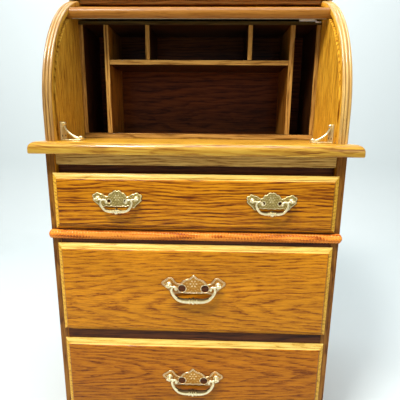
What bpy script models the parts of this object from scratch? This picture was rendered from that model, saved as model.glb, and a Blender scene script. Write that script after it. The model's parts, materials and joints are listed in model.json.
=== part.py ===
"""Roll top desk: a narrow chest of three drawers with a writing surface, a pigeonhole
unit and a tambour that rolls in a circular track.

Metres, +Z up, +X to the right of someone who faces the desk, front towards -Y.
All places below are in the case frame: X = 0 is the middle, Y = 0 is the plane of the
case's front edges and Z = 0 is the floor. The root empty moves that frame so that the
finished desk is centred over the origin.
"""
import math

import bmesh
import bpy
from mathutils import Matrix, Vector

# ---------------------------------------------------------------- driving dimensions
GAP = 0.0003               # clearance between pieces that touch

# Case
CASE_WIDTH = 0.590
BOARD = 0.019              # sides, rails and frames
BACK_THICK = 0.0057
BASE_HEIGHT = 0.0926       # floor to the underside of the case bottom
PLINTH_SETBACK = 0.004
PLINTH_ARCH_HEIGHT = 0.030
PLINTH_ARCH_SIDE = 0.110   # solid foot left at each end of the arch
PLINTH_ARCH_RISE = 2.2     # how fast the arch climbs; above 1 it has a level middle
RAIL_LOWER_HEIGHT = 0.0306
RAIL_MIDDLE_HEIGHT = 0.0394
RAIL_TOP_HEIGHT = 0.0422
RAIL_TOP_SETBACK = 0.012   # room for the apron strip in front of the top rail
FRAME_FRONT_DEPTH = 0.060
FRAME_RUNNER_WIDTH = 0.045
APRON_HEIGHT = 0.0222
APRON_EDGE = 0.003
ROPE_HEIGHT = 0.0195
ROPE_CLEAR = 0.0028        # rope moulding to the top drawer's front above it
ROPE_DEPTH = 0.0105
ROPE_OVERHANG = 0.004      # past each case side

# Drawers, from the top
DRAWER_NAMES = ("top", "middle", "bottom")
DRAWER_HEIGHTS = (0.1145, 0.1987, 0.1987)
FRONT_THICK = 0.012
LIP = 0.004                # overlap of a front over the rail above and below
LIP_SIDE = 0.0065          # overlap of a front over each case side
FRONT_MOULD = 0.007        # size of the worked edge of a front
DRAWER_WALL = 0.012
DRAWER_SIDE_CLEAR = 0.0015
DRAWER_TOP_CLEAR = 0.007
DRAWER_REAR_SPACE = 0.047
DRAWER_BOTTOM_THICK = 0.005
DRAWER_GROOVE_DEPTH = 0.006
DRAWER_GROOVE_RISE = 0.008

# Writing surface and top
SURFACE_THICK = 0.023
SURFACE_FRONT = 0.022      # overhang in front of the case
SURFACE_SIDE = 0.025       # overhang past each case side
SURFACE_EDGE = 0.006
TOP_THICK = 0.016
TOP_OVERHANG = 0.008
TOP_EDGE = 0.004
TOP_RAIL_THICK = 0.010
TOP_RAIL_SETBACK = 0.079   # roll centre to the front face of the top rail
TOP_RAIL_CLEAR = 0.0024    # top rail to the slats that pass behind it

# Roll top
ROLL_RADIUS = 0.250        # roll centre to the middle of the slats
ROLL_RISE = 0.056          # writing surface to the roll centre
SIDE_SETBACK = 0.004       # case front to the front edge of the upper sides
SIDE_EDGE = 0.015          # middle of the slats to the edge of the upper sides
SLAT_THICK = 0.008
SLAT_COUNT = 14
SLAT_GAP = 0.0006
SLAT_CROWN = 0.0028        # height of the rounded face
TAMBOUR_SPAN = math.radians(91.0)   # lift bar and slats together
OPEN_ANGLE = math.radians(56.6)     # lift bar above the front horizontal, open
TRACK_DEPTH = 0.009
TRACK_CLEAR = 0.0008
TRACK_END = math.radians(3.0)       # groove past the last slat
TRACK_START = math.radians(-16.0)   # groove runs out under the lower edge
TRACK_REAR_MARGIN = 0.015
TONGUE_CLEAR = 0.001       # slat end to the bottom of the groove
BAR_DEPTH = 0.017
BAR_END_CLEAR = 0.001
BAR_TONGUE = 0.7           # share of the bar's width that its end tongues keep
CANVAS_THICK = 0.0008
CANVAS_INSET = 0.006       # canvas edge to the upper side
ARC_STEP = math.radians(3.0)
HALF_ROUND_STEPS = 12
SLAT_FACE_STEPS = 8

# Pigeonhole unit
UNIT_FRONT = 0.174
UNIT_DEPTH = 0.122
UNIT_CLEAR = 0.0225        # middle of the slats to the unit
UNIT_FLOOR_THICK = 0.0117
UNIT_END_THICK = 0.010
UNIT_TOP_THICK = 0.0075
UNIT_BACK_THICK = 0.004
DIVIDER_THICK = 0.011
DIVIDER_INSET = 0.063      # upper side to the middle of a divider
SHELF_HEIGHT = 0.1744      # writing surface to the middle of the shelf
SHELF_THICK = 0.0107
PARTITION_THICK = 0.010
PARTITION_INSET = 0.0955   # middle of a divider to the middle of a partition

# Corner braces
BRACE_CLEAR = 0.0035       # closed tambour to the brace
BRACE_WIDTH = 0.028
BRACE_HEIGHT = 0.037
BRACE_REACH = 0.041
BRACE_THICK = 0.002
BRACE_STRUT = 0.0026
BRACE_STRUT_WIDTH = 0.007
BRACE_END = 0.008          # block at the strut's lower end
BRACE_STRUT_TOP = 0.93     # strut's start, as a share of the brace's height
BRACE_STRUT_BEND = 0.30    # pull of its bend, as a share of that height
BRACE_STRUT_STEPS = 8

# Pulls: post spacing, plate half width and rise, drop of the bar below the pins, radii
# of bar, bead and pin, and the place and radius of the plate's pierced holes
SMALL_PULL = {"spacing": 0.076, "plate": 0.050, "rise": 0.0168, "drop": 0.0240,
              "bar": 0.0035, "bead": 0.0064, "pin": 0.0015, "hole_x": 0.0164,
              "hole_drop": 0.0056, "hole": 0.0034}
LARGE_PULL = {"spacing": 0.102, "plate": 0.067, "rise": 0.0225, "drop": 0.0315,
              "bar": 0.0055, "bead": 0.0076, "pin": 0.0018, "hole_x": 0.0240,
              "hole_drop": 0.0084, "hole": 0.0072}
PLATE_THICK = 0.0018
PIVOT_REACH = 0.0105       # drawer front to the bail's axis
POST_RADIUS = 0.0026
EYE_WALL = 0.0018          # metal around the pin's hole
PIN_CLEAR = 0.0003
NECK_INSET = 2.6           # pin radii from a post to the bail's neck, besides the bar
# Half of a plate's edge, from its crest to the middle of its foot, in shares of the
# plate's half width and rise
PLATE_HALF = ((0.00, 1.00), (0.14, 0.84), (0.24, 0.72), (0.34, 0.50), (0.41, 0.30),
              (0.55, 0.36), (0.68, 0.68), (0.80, 0.74), (0.90, 0.48), (1.00, 0.10),
              (0.96, -0.14), (0.84, -0.34), (0.74, -0.80), (0.62, -1.12), (0.40, -1.06),
              (0.20, -0.96), (0.00, -1.04))
PULL_HEIGHT = 0.58         # share of the front's height, floor side up
SMALL_PULL_INSET = 0.1305  # drawer end to the middle of a small pull

# ---------------------------------------------------------------- worked-out places
INNER = CASE_WIDTH / 2 - BOARD
INNER_FIT = INNER - GAP
FRONT_HALF = INNER + LIP_SIDE

SLAT_PITCH = TAMBOUR_SPAN / (SLAT_COUNT + 1)
TRACK_STOP = OPEN_ANGLE - SLAT_PITCH / 2 + TAMBOUR_SPAN + TRACK_END
SLAT_BACK = ROLL_RADIUS - SLAT_THICK / 2
SLAT_FACE = ROLL_RADIUS + SLAT_THICK / 2
SLAT_WIDTH = 2 * SLAT_BACK * math.tan(SLAT_PITCH / 2) - SLAT_GAP
SLAT_HALF = INNER + TRACK_DEPTH - TONGUE_CLEAR
SIDE_RADIUS = ROLL_RADIUS + SIDE_EDGE
ROLL_Y = SIDE_SETBACK + SIDE_RADIUS
TRACK_OUTER = SLAT_FACE + TRACK_CLEAR
TRACK_INNER = SLAT_BACK - TRACK_CLEAR
SIDE_DEPTH = ROLL_Y - TRACK_OUTER * math.cos(TRACK_STOP) + TRACK_REAR_MARGIN
CASE_DEPTH = SIDE_DEPTH + GAP + BACK_THICK

PULL_FRONT = FRONT_THICK + GAP + PIVOT_REACH + LARGE_PULL["bead"]
DESK_SHIFT = -(CASE_DEPTH - PULL_FRONT) / 2


def drawer_layout():
    """Heights of the fronts and frames, from the floor up."""
    levels = {}
    opening_low = BASE_HEIGHT + BOARD
    rails = {"bottom": RAIL_LOWER_HEIGHT, "middle": RAIL_MIDDLE_HEIGHT, "top": RAIL_TOP_HEIGHT}
    for name, height in reversed(tuple(zip(DRAWER_NAMES, DRAWER_HEIGHTS))):
        opening_high = opening_low + height - 2 * LIP
        rail_high = opening_high + rails[name]
        levels[name] = {"low": opening_low, "high": opening_high, "rail_high": rail_high}
        opening_low = rail_high
    return levels


LEVELS = drawer_layout()
SURFACE_LOW = LEVELS["top"]["rail_high"] + GAP
SURFACE_TOP = SURFACE_LOW + SURFACE_THICK
ROLL_Z = SURFACE_TOP + ROLL_RISE
TOP_LOW = ROLL_Z + SLAT_FACE + TRACK_CLEAR + 2 * GAP
UNIT_RADIUS = ROLL_RADIUS - UNIT_CLEAR
TOP_RAIL_FRONT = ROLL_Y - TOP_RAIL_SETBACK

# ---------------------------------------------------------------- scene and materials
for stale in list(bpy.data.objects):
    bpy.data.objects.remove(stale, do_unlink=True)

DESK = bpy.data.collections.new("roll_top_desk")
CUTTERS = bpy.data.collections.new("cutters")
bpy.context.scene.collection.children.link(DESK)
bpy.context.scene.collection.children.link(CUTTERS)


def make_material(name, colour, roughness, metallic=0.0):
    material = bpy.data.materials.new(name)
    material.use_nodes = True
    shader = material.node_tree.nodes["Principled BSDF"]
    shader.inputs["Base Color"].default_value = (*colour, 1.0)
    shader.inputs["Roughness"].default_value = roughness
    shader.inputs["Metallic"].default_value = metallic
    return material


OAK = (0.36, 0.17, 0.035)
OAK_DARK = (0.17, 0.06, 0.015)
ROPE_OAK = (0.34, 0.09, 0.02)
PLY = (0.45, 0.30, 0.15)
BRASS = (0.42, 0.33, 0.16)
CANVAS = (0.35, 0.30, 0.22)


def finish_piece(piece, colour, roughness=0.35, metallic=0.0):
    """Give a piece a material of its own."""
    piece.data.materials.clear()
    piece.data.materials.append(make_material(piece.name, colour, roughness, metallic))
    return piece


# ---------------------------------------------------------------- modelling helpers
def add_group(name, point, parent=None):
    """An empty that pieces hang on; a moving one lies on its joint's axis."""
    group = bpy.data.objects.new(name, None)
    DESK.objects.link(group)
    group.empty_display_size = 0.05
    group.location = point
    group.parent = parent
    return group


def add_piece(name, mesh, group, point=(0, 0, 0), collection=DESK):
    """Link a mesh as an object, with its origin at a place in the case frame."""
    piece = bpy.data.objects.new(name, mesh)
    collection.objects.link(piece)
    piece.parent = group
    origin = Vector((0, 0, 0)) if group is ROOT else group.location
    piece.location = Vector(point) - origin
    return piece


def box_mesh(size):
    mesh = bpy.data.meshes.new("box")
    shape = bmesh.new()
    bmesh.ops.create_cube(shape, size=1.0)
    bmesh.ops.scale(shape, vec=size, verts=shape.verts)
    shape.to_mesh(mesh)
    shape.free()
    return mesh


def add_box(name, low, high, group, collection=DESK):
    """A board between two corners in the case frame."""
    size = [high[axis] - low[axis] for axis in range(3)]
    centre = [(high[axis] + low[axis]) / 2 for axis in range(3)]
    return add_piece(name, box_mesh(size), group, centre, collection)


def add_bevel(piece, width, segments=2, limit=35.0):
    bevel = piece.modifiers.new("edges", "BEVEL")
    bevel.width = width
    bevel.segments = segments
    bevel.limit_method = "ANGLE"
    bevel.angle_limit = math.radians(limit)
    return bevel


def add_boolean(piece, tool, operation):
    """Cut with, or join to, an object that stays hidden among the cutters."""
    tool.hide_render = True
    tool.display_type = "WIRE"
    modifier = piece.modifiers.new(operation.lower(), "BOOLEAN")
    modifier.operation = operation
    modifier.solver = "EXACT"
    modifier.object = tool
    return modifier


def cut_box(piece, low, high, group):
    tool = add_box(piece.name + "_cut", low, high, group, CUTTERS)
    add_boolean(piece, tool, "DIFFERENCE")


def outline_mesh(loops, low, high, axis):
    """A flat outline, with any holes, given thickness from low to high along X or Y.

    The outline's points are (y, z) for a solid along X and (x, z) for one along Y.
    """
    curve = bpy.data.curves.new("outline", "CURVE")
    curve.dimensions = "2D"
    curve.fill_mode = "BOTH"
    curve.extrude = (high - low) / 2
    for loop in loops:
        spline = curve.splines.new("POLY")
        spline.points.add(len(loop) - 1)
        for point, (across, up) in zip(spline.points, loop):
            point.co = (across, up, 0.0, 1.0)
        spline.use_cyclic_u = True
    guide = bpy.data.objects.new("outline", curve)
    CUTTERS.objects.link(guide)
    depsgraph = bpy.context.evaluated_depsgraph_get()
    mesh = bpy.data.meshes.new_from_object(guide.evaluated_get(depsgraph))
    bpy.data.objects.remove(guide, do_unlink=True)
    middle = (low + high) / 2
    if axis == "X":
        turn = Matrix(((0, 0, 1, middle), (1, 0, 0, 0), (0, 1, 0, 0), (0, 0, 0, 1)))
    else:
        turn = Matrix(((1, 0, 0, 0), (0, 0, -1, middle), (0, 1, 0, 0), (0, 0, 0, 1)))
    return closed_mesh(mesh, turn)


def closed_mesh(mesh, turn=None):
    """Weld the loose caps of a converted curve and face every side outwards."""
    shape = bmesh.new()
    shape.from_mesh(mesh)
    if turn is not None:
        bmesh.ops.transform(shape, matrix=turn, verts=shape.verts)
    bmesh.ops.remove_doubles(shape, verts=shape.verts, dist=0.000002)
    bmesh.ops.recalc_face_normals(shape, faces=shape.faces)
    shape.to_mesh(mesh)
    shape.free()
    return mesh


def arc_points(centre, radius, start, stop, step=ARC_STEP):
    """Points on an arc; angle 0 points to the front and 90 degrees points up."""
    count = max(2, math.ceil(abs(stop - start) / step))
    points = []
    for index in range(count + 1):
        angle = start + (stop - start) * index / count
        points.append((centre[0] - radius * math.cos(angle),
                       centre[1] + radius * math.sin(angle)))
    return points


def smooth_points(points, per_span, closed=False):
    """Catmull-Rom curve through hand-placed points, of any number of coordinates."""
    count = len(points)
    spans = count if closed else count - 1
    smooth = []
    for span in range(spans):
        if closed:
            window = [points[(span + shift) % count] for shift in (-1, 0, 1, 2)]
        else:
            window = [points[min(max(span + shift, 0), count - 1)] for shift in (-1, 0, 1, 2)]
        for index in range(per_span):
            t = index / per_span
            weights = ((-t + 2 * t * t - t ** 3) / 2,
                       (2 - 5 * t * t + 3 * t ** 3) / 2,
                       (t + 4 * t * t - 3 * t ** 3) / 2,
                       (-t * t + t ** 3) / 2)
            smooth.append(tuple(sum(weight * point[axis] for weight, point in zip(weights, window))
                                for axis in range(len(points[0]))))
    if not closed:
        smooth.append(tuple(points[-1]))
    return smooth


def ribbon_mesh(points, half_width):
    """An open strip along X through (y, z) points, to be thickened."""
    mesh = bpy.data.meshes.new("ribbon")
    shape = bmesh.new()
    row = [shape.verts.new((-half_width, y, z)) for y, z in points]
    edges = [shape.edges.new(pair) for pair in zip(row[:-1], row[1:])]
    grown = bmesh.ops.extrude_edge_only(shape, edges=edges)
    moved = [item for item in grown["geom"] if isinstance(item, bmesh.types.BMVert)]
    bmesh.ops.translate(shape, vec=(2 * half_width, 0, 0), verts=moved)
    bmesh.ops.recalc_face_normals(shape, faces=shape.faces)
    shape.to_mesh(mesh)
    shape.free()
    return mesh


def add_thickness(piece, thickness, offset):
    solid = piece.modifiers.new("thickness", "SOLIDIFY")
    solid.thickness = thickness
    solid.offset = offset
    solid.use_even_offset = True
    return solid


ROOT = add_group("desk", (0, DESK_SHIFT, 0))


# ---------------------------------------------------------------- case
def build_case():
    for side, name in ((-1, "left"), (1, "right")):
        edges = sorted((side * INNER, side * CASE_WIDTH / 2))
        piece = add_box("lower_side_" + name, (edges[0], 0, 0),
                        (edges[1], SIDE_DEPTH, SURFACE_LOW - GAP), ROOT)
        finish_piece(piece, OAK)

    back = add_box("back_panel", (-CASE_WIDTH / 2, SIDE_DEPTH + GAP, BASE_HEIGHT),
                   (CASE_WIDTH / 2, CASE_DEPTH, TOP_LOW - GAP), ROOT)
    finish_piece(back, PLY, 0.6)

    bottom = add_box("case_bottom", (-INNER_FIT, 0, BASE_HEIGHT),
                     (INNER_FIT, SIDE_DEPTH, BASE_HEIGHT + BOARD), ROOT)
    finish_piece(bottom, OAK, 0.5)

    build_plinth()
    build_frame("frame_lower", LEVELS["bottom"]["high"], LEVELS["bottom"]["rail_high"], 0)
    build_frame("frame_middle", LEVELS["middle"]["high"], LEVELS["middle"]["rail_high"], 0)
    build_frame("frame_top", LEVELS["top"]["high"], LEVELS["top"]["rail_high"],
                RAIL_TOP_SETBACK, kicker=True)

    apron = add_box("apron_strip", (-INNER_FIT, 0, SURFACE_LOW - GAP - APRON_HEIGHT),
                    (INNER_FIT, RAIL_TOP_SETBACK - GAP, SURFACE_LOW - GAP), ROOT)
    add_bevel(apron, APRON_EDGE)
    finish_piece(apron, OAK)


def build_plinth():
    """Base board with a low arch between two feet."""
    foot = INNER_FIT - PLINTH_ARCH_SIDE
    top = BASE_HEIGHT - GAP
    arch = []
    for index in range(HALF_ROUND_STEPS + 1):
        share = index / HALF_ROUND_STEPS
        climb = PLINTH_ARCH_RISE * (0.5 - 0.5 * math.cos(2 * math.pi * share))
        arch.append((-foot + 2 * foot * share, PLINTH_ARCH_HEIGHT * min(1.0, climb)))
    outline = [(-INNER_FIT, 0), *arch, (INNER_FIT, 0), (INNER_FIT, top), (-INNER_FIT, top)]
    mesh = outline_mesh([outline], PLINTH_SETBACK, PLINTH_SETBACK + BOARD, "Y")
    finish_piece(add_piece("plinth_front", mesh, ROOT), OAK)


def build_frame(name, low, high, front, kicker=False):
    """Front rail, side runners and rear rail in one frame.

    The runners carry the drawer above, so they lie at the rail's top; the kicker frame
    under the writing surface has them at the bottom, where they stop the top drawer
    from tipping.
    """
    frame = add_box(name, (-INNER_FIT, front, low), (INNER_FIT, SIDE_DEPTH - GAP, high), ROOT)
    runner = INNER_FIT - FRAME_RUNNER_WIDTH
    cut_box(frame, (-runner, front + FRAME_FRONT_DEPTH, low - BOARD),
            (runner, SIDE_DEPTH - FRAME_RUNNER_WIDTH, high + BOARD), ROOT)
    if high - low > BOARD + GAP:
        hollow = (low + BOARD, high + BOARD) if kicker else (low - BOARD, high - BOARD)
        cut_box(frame, (-CASE_WIDTH, front + BOARD, hollow[0]),
                (CASE_WIDTH, SIDE_DEPTH + BOARD, hollow[1]), ROOT)
    finish_piece(frame, OAK_DARK, 0.5)


def build_rope_moulding():
    """Half-round moulding on the rail between the top and middle drawers."""
    middle = LEVELS["top"]["low"] - LIP - ROPE_CLEAR - ROPE_HEIGHT / 2
    half = CASE_WIDTH / 2 + ROPE_OVERHANG
    section = [(-GAP, middle - ROPE_HEIGHT / 2)]
    for index in range(1, HALF_ROUND_STEPS):
        angle = math.pi * index / HALF_ROUND_STEPS
        section.append((-GAP - ROPE_DEPTH * math.sin(angle),
                        middle - ROPE_HEIGHT / 2 * math.cos(angle)))
    section.append((-GAP, middle + ROPE_HEIGHT / 2))
    mesh = outline_mesh([section], -half, half, "X")
    finish_piece(add_piece("rope_moulding", mesh, ROOT), ROPE_OAK)


# ---------------------------------------------------------------- writing surface, top
def build_surface_and_top():
    half = CASE_WIDTH / 2
    surface = add_box("writing_surface", (-half - SURFACE_SIDE, -SURFACE_FRONT, SURFACE_LOW),
                      (half + SURFACE_SIDE, SIDE_DEPTH, SURFACE_TOP), ROOT)
    add_bevel(surface, SURFACE_EDGE, 3)
    finish_piece(surface, OAK, 0.25)

    top = add_box("top_board", (-half - TOP_OVERHANG, TOP_RAIL_FRONT - TOP_OVERHANG, TOP_LOW),
                  (half + TOP_OVERHANG, CASE_DEPTH, TOP_LOW + TOP_THICK), ROOT)
    add_bevel(top, TOP_EDGE)
    finish_piece(top, OAK, 0.25)

    rear_reach = TOP_RAIL_SETBACK - TOP_RAIL_THICK
    clear_radius = SLAT_FACE + TOP_RAIL_CLEAR
    rail_low = ROLL_Z + math.sqrt(clear_radius ** 2 - rear_reach ** 2)
    rail = add_box("top_rail", (-INNER_FIT, TOP_RAIL_FRONT, rail_low),
                   (INNER_FIT, TOP_RAIL_FRONT + TOP_RAIL_THICK, TOP_LOW - GAP), ROOT)
    finish_piece(rail, OAK)


# ---------------------------------------------------------------- upper sides
def build_upper_sides():
    """Quarter-round panels with the groove that the slats run in."""
    low = SURFACE_TOP + GAP
    high = TOP_LOW - GAP
    centre = (ROLL_Y, ROLL_Z)
    flat_angle = math.asin((high - ROLL_Z) / SIDE_RADIUS)
    outline = [(SIDE_SETBACK, low)]
    outline += arc_points(centre, SIDE_RADIUS, 0.0, flat_angle)
    outline += [(SIDE_DEPTH, high), (SIDE_DEPTH, low)]
    groove = arc_points(centre, TRACK_OUTER, TRACK_START, TRACK_STOP)
    groove += reversed(arc_points(centre, TRACK_INNER, TRACK_START, TRACK_STOP))
    for side, name in ((-1, "left"), (1, "right")):
        edges = sorted((side * INNER, side * CASE_WIDTH / 2))
        panel = add_piece("upper_side_" + name, outline_mesh([outline], *edges, "X"), ROOT)
        span = sorted((side * (INNER - BOARD), side * (INNER + TRACK_DEPTH)))
        tool = add_piece("track_" + name, outline_mesh([groove], *span, "X"), ROOT,
                         collection=CUTTERS)
        add_boolean(panel, tool, "DIFFERENCE")
        finish_piece(panel, OAK)


# ---------------------------------------------------------------- tambour
def build_tambour():
    """Lift bar and slats on a canvas, all turning about the centre of the track."""
    hinge = add_group("tambour_axis", (0, ROLL_Y, ROLL_Z), ROOT)
    half = SLAT_WIDTH / 2
    shoulder = SLAT_FACE - SLAT_CROWN
    section = [(-SLAT_BACK, -half), (-shoulder, -half)]
    for index in range(1, SLAT_FACE_STEPS):
        angle = math.pi * index / SLAT_FACE_STEPS
        section.append((-shoulder - SLAT_CROWN * math.sin(angle), -half * math.cos(angle)))
    section += [(-shoulder, half), (-SLAT_BACK, half)]
    slat_mesh = outline_mesh([section], -SLAT_HALF, SLAT_HALF, "X")

    for index in range(1, SLAT_COUNT + 1):
        slat = add_piece(f"tambour_slat_{index:02d}", slat_mesh.copy(), hinge, hinge.location)
        slat.rotation_euler.x = -(OPEN_ANGLE + index * SLAT_PITCH)
        finish_piece(slat, OAK)

    bar_section = [(-SLAT_BACK, -half)]
    for index in range(1, HALF_ROUND_STEPS):
        angle = math.pi * index / HALF_ROUND_STEPS
        bar_section.append((-SLAT_BACK - BAR_DEPTH * math.sin(angle), -half * math.cos(angle)))
    bar_section.append((-SLAT_BACK, half))
    bar_half = INNER - BAR_END_CLEAR
    bar = add_piece("lift_bar", outline_mesh([bar_section], -bar_half, bar_half, "X"),
                    hinge, hinge.location)
    bar.rotation_euler.x = -OPEN_ANGLE
    tongue_half = half * BAR_TONGUE
    tongue = [(-SLAT_BACK - GAP, -tongue_half), (-shoulder, -tongue_half),
              (-shoulder, tongue_half), (-SLAT_BACK - GAP, tongue_half)]
    tool = add_piece("lift_bar_tongue", outline_mesh([tongue], -SLAT_HALF, SLAT_HALF, "X"),
                     hinge, hinge.location, CUTTERS)
    tool.rotation_euler.x = -OPEN_ANGLE
    add_boolean(bar, tool, "UNION")
    finish_piece(bar, OAK, 0.25)

    start = OPEN_ANGLE - SLAT_PITCH / 2
    radius = (SLAT_BACK - GAP) / math.cos(SLAT_PITCH / 2)
    corners = arc_points((0, 0), radius, start, start + TAMBOUR_SPAN, SLAT_PITCH * 1.001)
    canvas = add_piece("tambour_canvas", ribbon_mesh(corners, INNER - CANVAS_INSET), hinge,
                       hinge.location)
    add_thickness(canvas, CANVAS_THICK, -1)
    finish_piece(canvas, CANVAS, 0.9)


# ---------------------------------------------------------------- pigeonhole unit
def build_pigeonholes():
    """Open-fronted unit that stands on the writing surface, inside the tambour's circle."""
    rear = UNIT_FRONT + UNIT_DEPTH
    back = rear - UNIT_BACK_THICK
    reach = max(ROLL_Y - UNIT_FRONT, rear - ROLL_Y)
    floor_low = SURFACE_TOP + GAP
    floor_top = floor_low + UNIT_FLOOR_THICK
    top_high = ROLL_Z + math.sqrt(UNIT_RADIUS ** 2 - reach ** 2)
    top_low = top_high - UNIT_TOP_THICK
    low = floor_top + GAP
    high = top_low - GAP
    end_inner = INNER_FIT - UNIT_END_THICK
    divider_x = INNER - DIVIDER_INSET
    partition_x = divider_x - PARTITION_INSET
    shelf_low = SURFACE_TOP + SHELF_HEIGHT - SHELF_THICK / 2
    shelf_high = shelf_low + SHELF_THICK

    def board(name, low_corner, high_corner):
        piece = add_box("pigeonhole_" + name, low_corner, high_corner, ROOT)
        finish_piece(piece, OAK_DARK)

    def upright(name, x, thick, board_low, board_rear):
        board(name, (x - thick / 2, UNIT_FRONT, board_low), (x + thick / 2, board_rear, high))

    board("floor", (-INNER_FIT, UNIT_FRONT, floor_low), (INNER_FIT, rear, floor_top))
    board("top", (-INNER_FIT, UNIT_FRONT, top_low), (INNER_FIT, rear, top_high))
    board("back", (-end_inner + GAP, back, low), (end_inner - GAP, rear, high))
    for side, name in ((-1, "left"), (1, "right")):
        upright("end_" + name, side * (end_inner + UNIT_END_THICK / 2), UNIT_END_THICK, low, rear)
        upright("divider_" + name, side * divider_x, DIVIDER_THICK, low, back - GAP)
        upright("partition_" + name, side * partition_x, PARTITION_THICK,
                shelf_high + GAP, back - GAP)
    shelf_half = divider_x - DIVIDER_THICK / 2 - GAP
    board("shelf", (-shelf_half, UNIT_FRONT, shelf_low), (shelf_half, back - GAP, shelf_high))


# ---------------------------------------------------------------- corner braces
def build_braces():
    """Brass angle with a curved strut, behind the closed tambour."""
    track_foot = ROLL_Y - math.sqrt(SLAT_BACK ** 2 - ROLL_RISE ** 2)
    front = track_foot + BRACE_CLEAR
    low = SURFACE_TOP + GAP
    strut_front = front + (BRACE_WIDTH - BRACE_STRUT_WIDTH) / 2
    for side, name in ((-1, "left"), (1, "right")):
        wall = side * INNER_FIT
        inward = -side

        def at(reach, rise):
            return (wall + inward * reach, low + rise)

        angle = [at(0, 0), at(BRACE_REACH, 0), at(BRACE_REACH, BRACE_THICK),
                 at(BRACE_THICK, BRACE_THICK), at(BRACE_THICK, BRACE_HEIGHT), at(0, BRACE_HEIGHT)]
        brace = add_piece("corner_brace_" + name,
                          outline_mesh([angle], front, front + BRACE_WIDTH, "Y"), ROOT)

        start = Vector((BRACE_THICK, BRACE_HEIGHT * BRACE_STRUT_TOP))
        bend = Vector((BRACE_THICK * 3, BRACE_HEIGHT * BRACE_STRUT_BEND))
        stop = Vector((BRACE_REACH - BRACE_END / 2, BRACE_THICK))
        inner_edge = []
        outer_edge = []
        for index in range(BRACE_STRUT_STEPS + 1):
            t = index / BRACE_STRUT_STEPS
            point = start * (1 - t) ** 2 + bend * (2 * t * (1 - t)) + stop * t ** 2
            slope = (bend - start) * (1 - t) + (stop - bend) * t
            normal = Vector((-slope.y, slope.x)).normalized() * BRACE_STRUT / 2
            inner_edge.append(at(*(point - normal)))
            outer_edge.append(at(*(point + normal)))
        strut = outline_mesh([inner_edge + outer_edge[::-1]], strut_front,
                             strut_front + BRACE_STRUT_WIDTH, "Y")
        tool = add_piece("brace_strut_" + name, strut, ROOT, collection=CUTTERS)
        add_boolean(brace, tool, "UNION")

        ends = sorted((wall + inward * (BRACE_REACH - BRACE_END), wall + inward * (BRACE_REACH + GAP)))
        tool = add_box("brace_end_" + name, (ends[0], strut_front - GAP, low + BRACE_THICK / 2),
                       (ends[1], strut_front + BRACE_STRUT_WIDTH + GAP, low + BRACE_END), ROOT,
                       CUTTERS)
        add_boolean(brace, tool, "UNION")
        finish_piece(brace, BRASS, 0.3, 1.0)


# ---------------------------------------------------------------- drawers
def build_drawer(name, height):
    level = LEVELS[name]
    front_low = level["low"] - LIP
    front_high = front_low + height
    slide = add_group(f"drawer_{name}_slide", (0, 0, (front_low + front_high) / 2), ROOT)

    front = add_box(f"drawer_{name}_front", (-FRONT_HALF, -GAP - FRONT_THICK, front_low),
                    (FRONT_HALF, -GAP, front_high), slide)
    shape = bmesh.new()
    shape.from_mesh(front.data)
    rim = [edge for edge in shape.edges if all(vert.co.y < 0 for vert in edge.verts)]
    bmesh.ops.bevel(shape, geom=rim, offset=FRONT_MOULD, segments=3, profile=0.5,
                    affect="EDGES")
    shape.to_mesh(front.data)
    shape.free()
    finish_piece(front, OAK, 0.25)

    half = INNER - DRAWER_SIDE_CLEAR
    low = level["low"] + GAP
    high = level["high"] - DRAWER_TOP_CLEAR
    rear = SIDE_DEPTH - DRAWER_REAR_SPACE
    groove_low = low + DRAWER_GROOVE_RISE
    groove_high = groove_low + DRAWER_BOTTOM_THICK + 2 * GAP
    inner_half = half - DRAWER_WALL
    box = add_box(f"drawer_{name}_box", (-half, 0, low), (half, rear, high), slide)
    cut_box(box, (-inner_half, DRAWER_WALL, low - BOARD),
            (inner_half, rear - DRAWER_WALL, high + BOARD), slide)
    reach = DRAWER_GROOVE_DEPTH
    cut_box(box, (-inner_half - reach, DRAWER_WALL - reach, groove_low),
            (inner_half + reach, rear - DRAWER_WALL + reach, groove_high), slide)
    finish_piece(box, PLY, 0.6)

    fit = reach - GAP
    bottom = add_box(f"drawer_{name}_bottom",
                     (-inner_half - fit, DRAWER_WALL - fit, groove_low + GAP),
                     (inner_half + fit, rear - DRAWER_WALL + fit, groove_high - GAP), slide)
    finish_piece(bottom, PLY, 0.6)

    pull_z = front_low + height * PULL_HEIGHT
    if name == "top":
        pull_x = FRONT_HALF - SMALL_PULL_INSET
        build_pull("top_left", -pull_x, pull_z, SMALL_PULL, slide)
        build_pull("top_right", pull_x, pull_z, SMALL_PULL, slide)
    else:
        build_pull(name, 0.0, pull_z, LARGE_PULL, slide)


# ---------------------------------------------------------------- pulls
def plate_outline(size):
    """The plate's edge: the drawn half and its mirror."""
    right = [(size["plate"] * across, size["rise"] * up) for across, up in PLATE_HALF]
    left = [(-across, up) for across, up in right[-2:0:-1]]
    return smooth_points(right + left, 2, closed=True)


def circle_points(x, z, radius, count=12):
    return [(x + radius * math.cos(2 * math.pi * index / count),
             z + radius * math.sin(2 * math.pi * index / count)) for index in range(count)]


def round_mesh(radius, depth, segments, turn):
    """A cylinder along Z, turned as asked."""
    mesh = bpy.data.meshes.new("round")
    shape = bmesh.new()
    bmesh.ops.create_cone(shape, cap_ends=True, segments=segments, radius1=radius,
                          radius2=radius, depth=depth)
    bmesh.ops.transform(shape, matrix=turn, verts=shape.verts)
    shape.to_mesh(mesh)
    shape.free()
    return mesh


def ball_mesh(radius):
    mesh = bpy.data.meshes.new("ball")
    shape = bmesh.new()
    bmesh.ops.create_uvsphere(shape, u_segments=12, v_segments=8, radius=radius)
    shape.to_mesh(mesh)
    shape.free()
    return mesh


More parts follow.
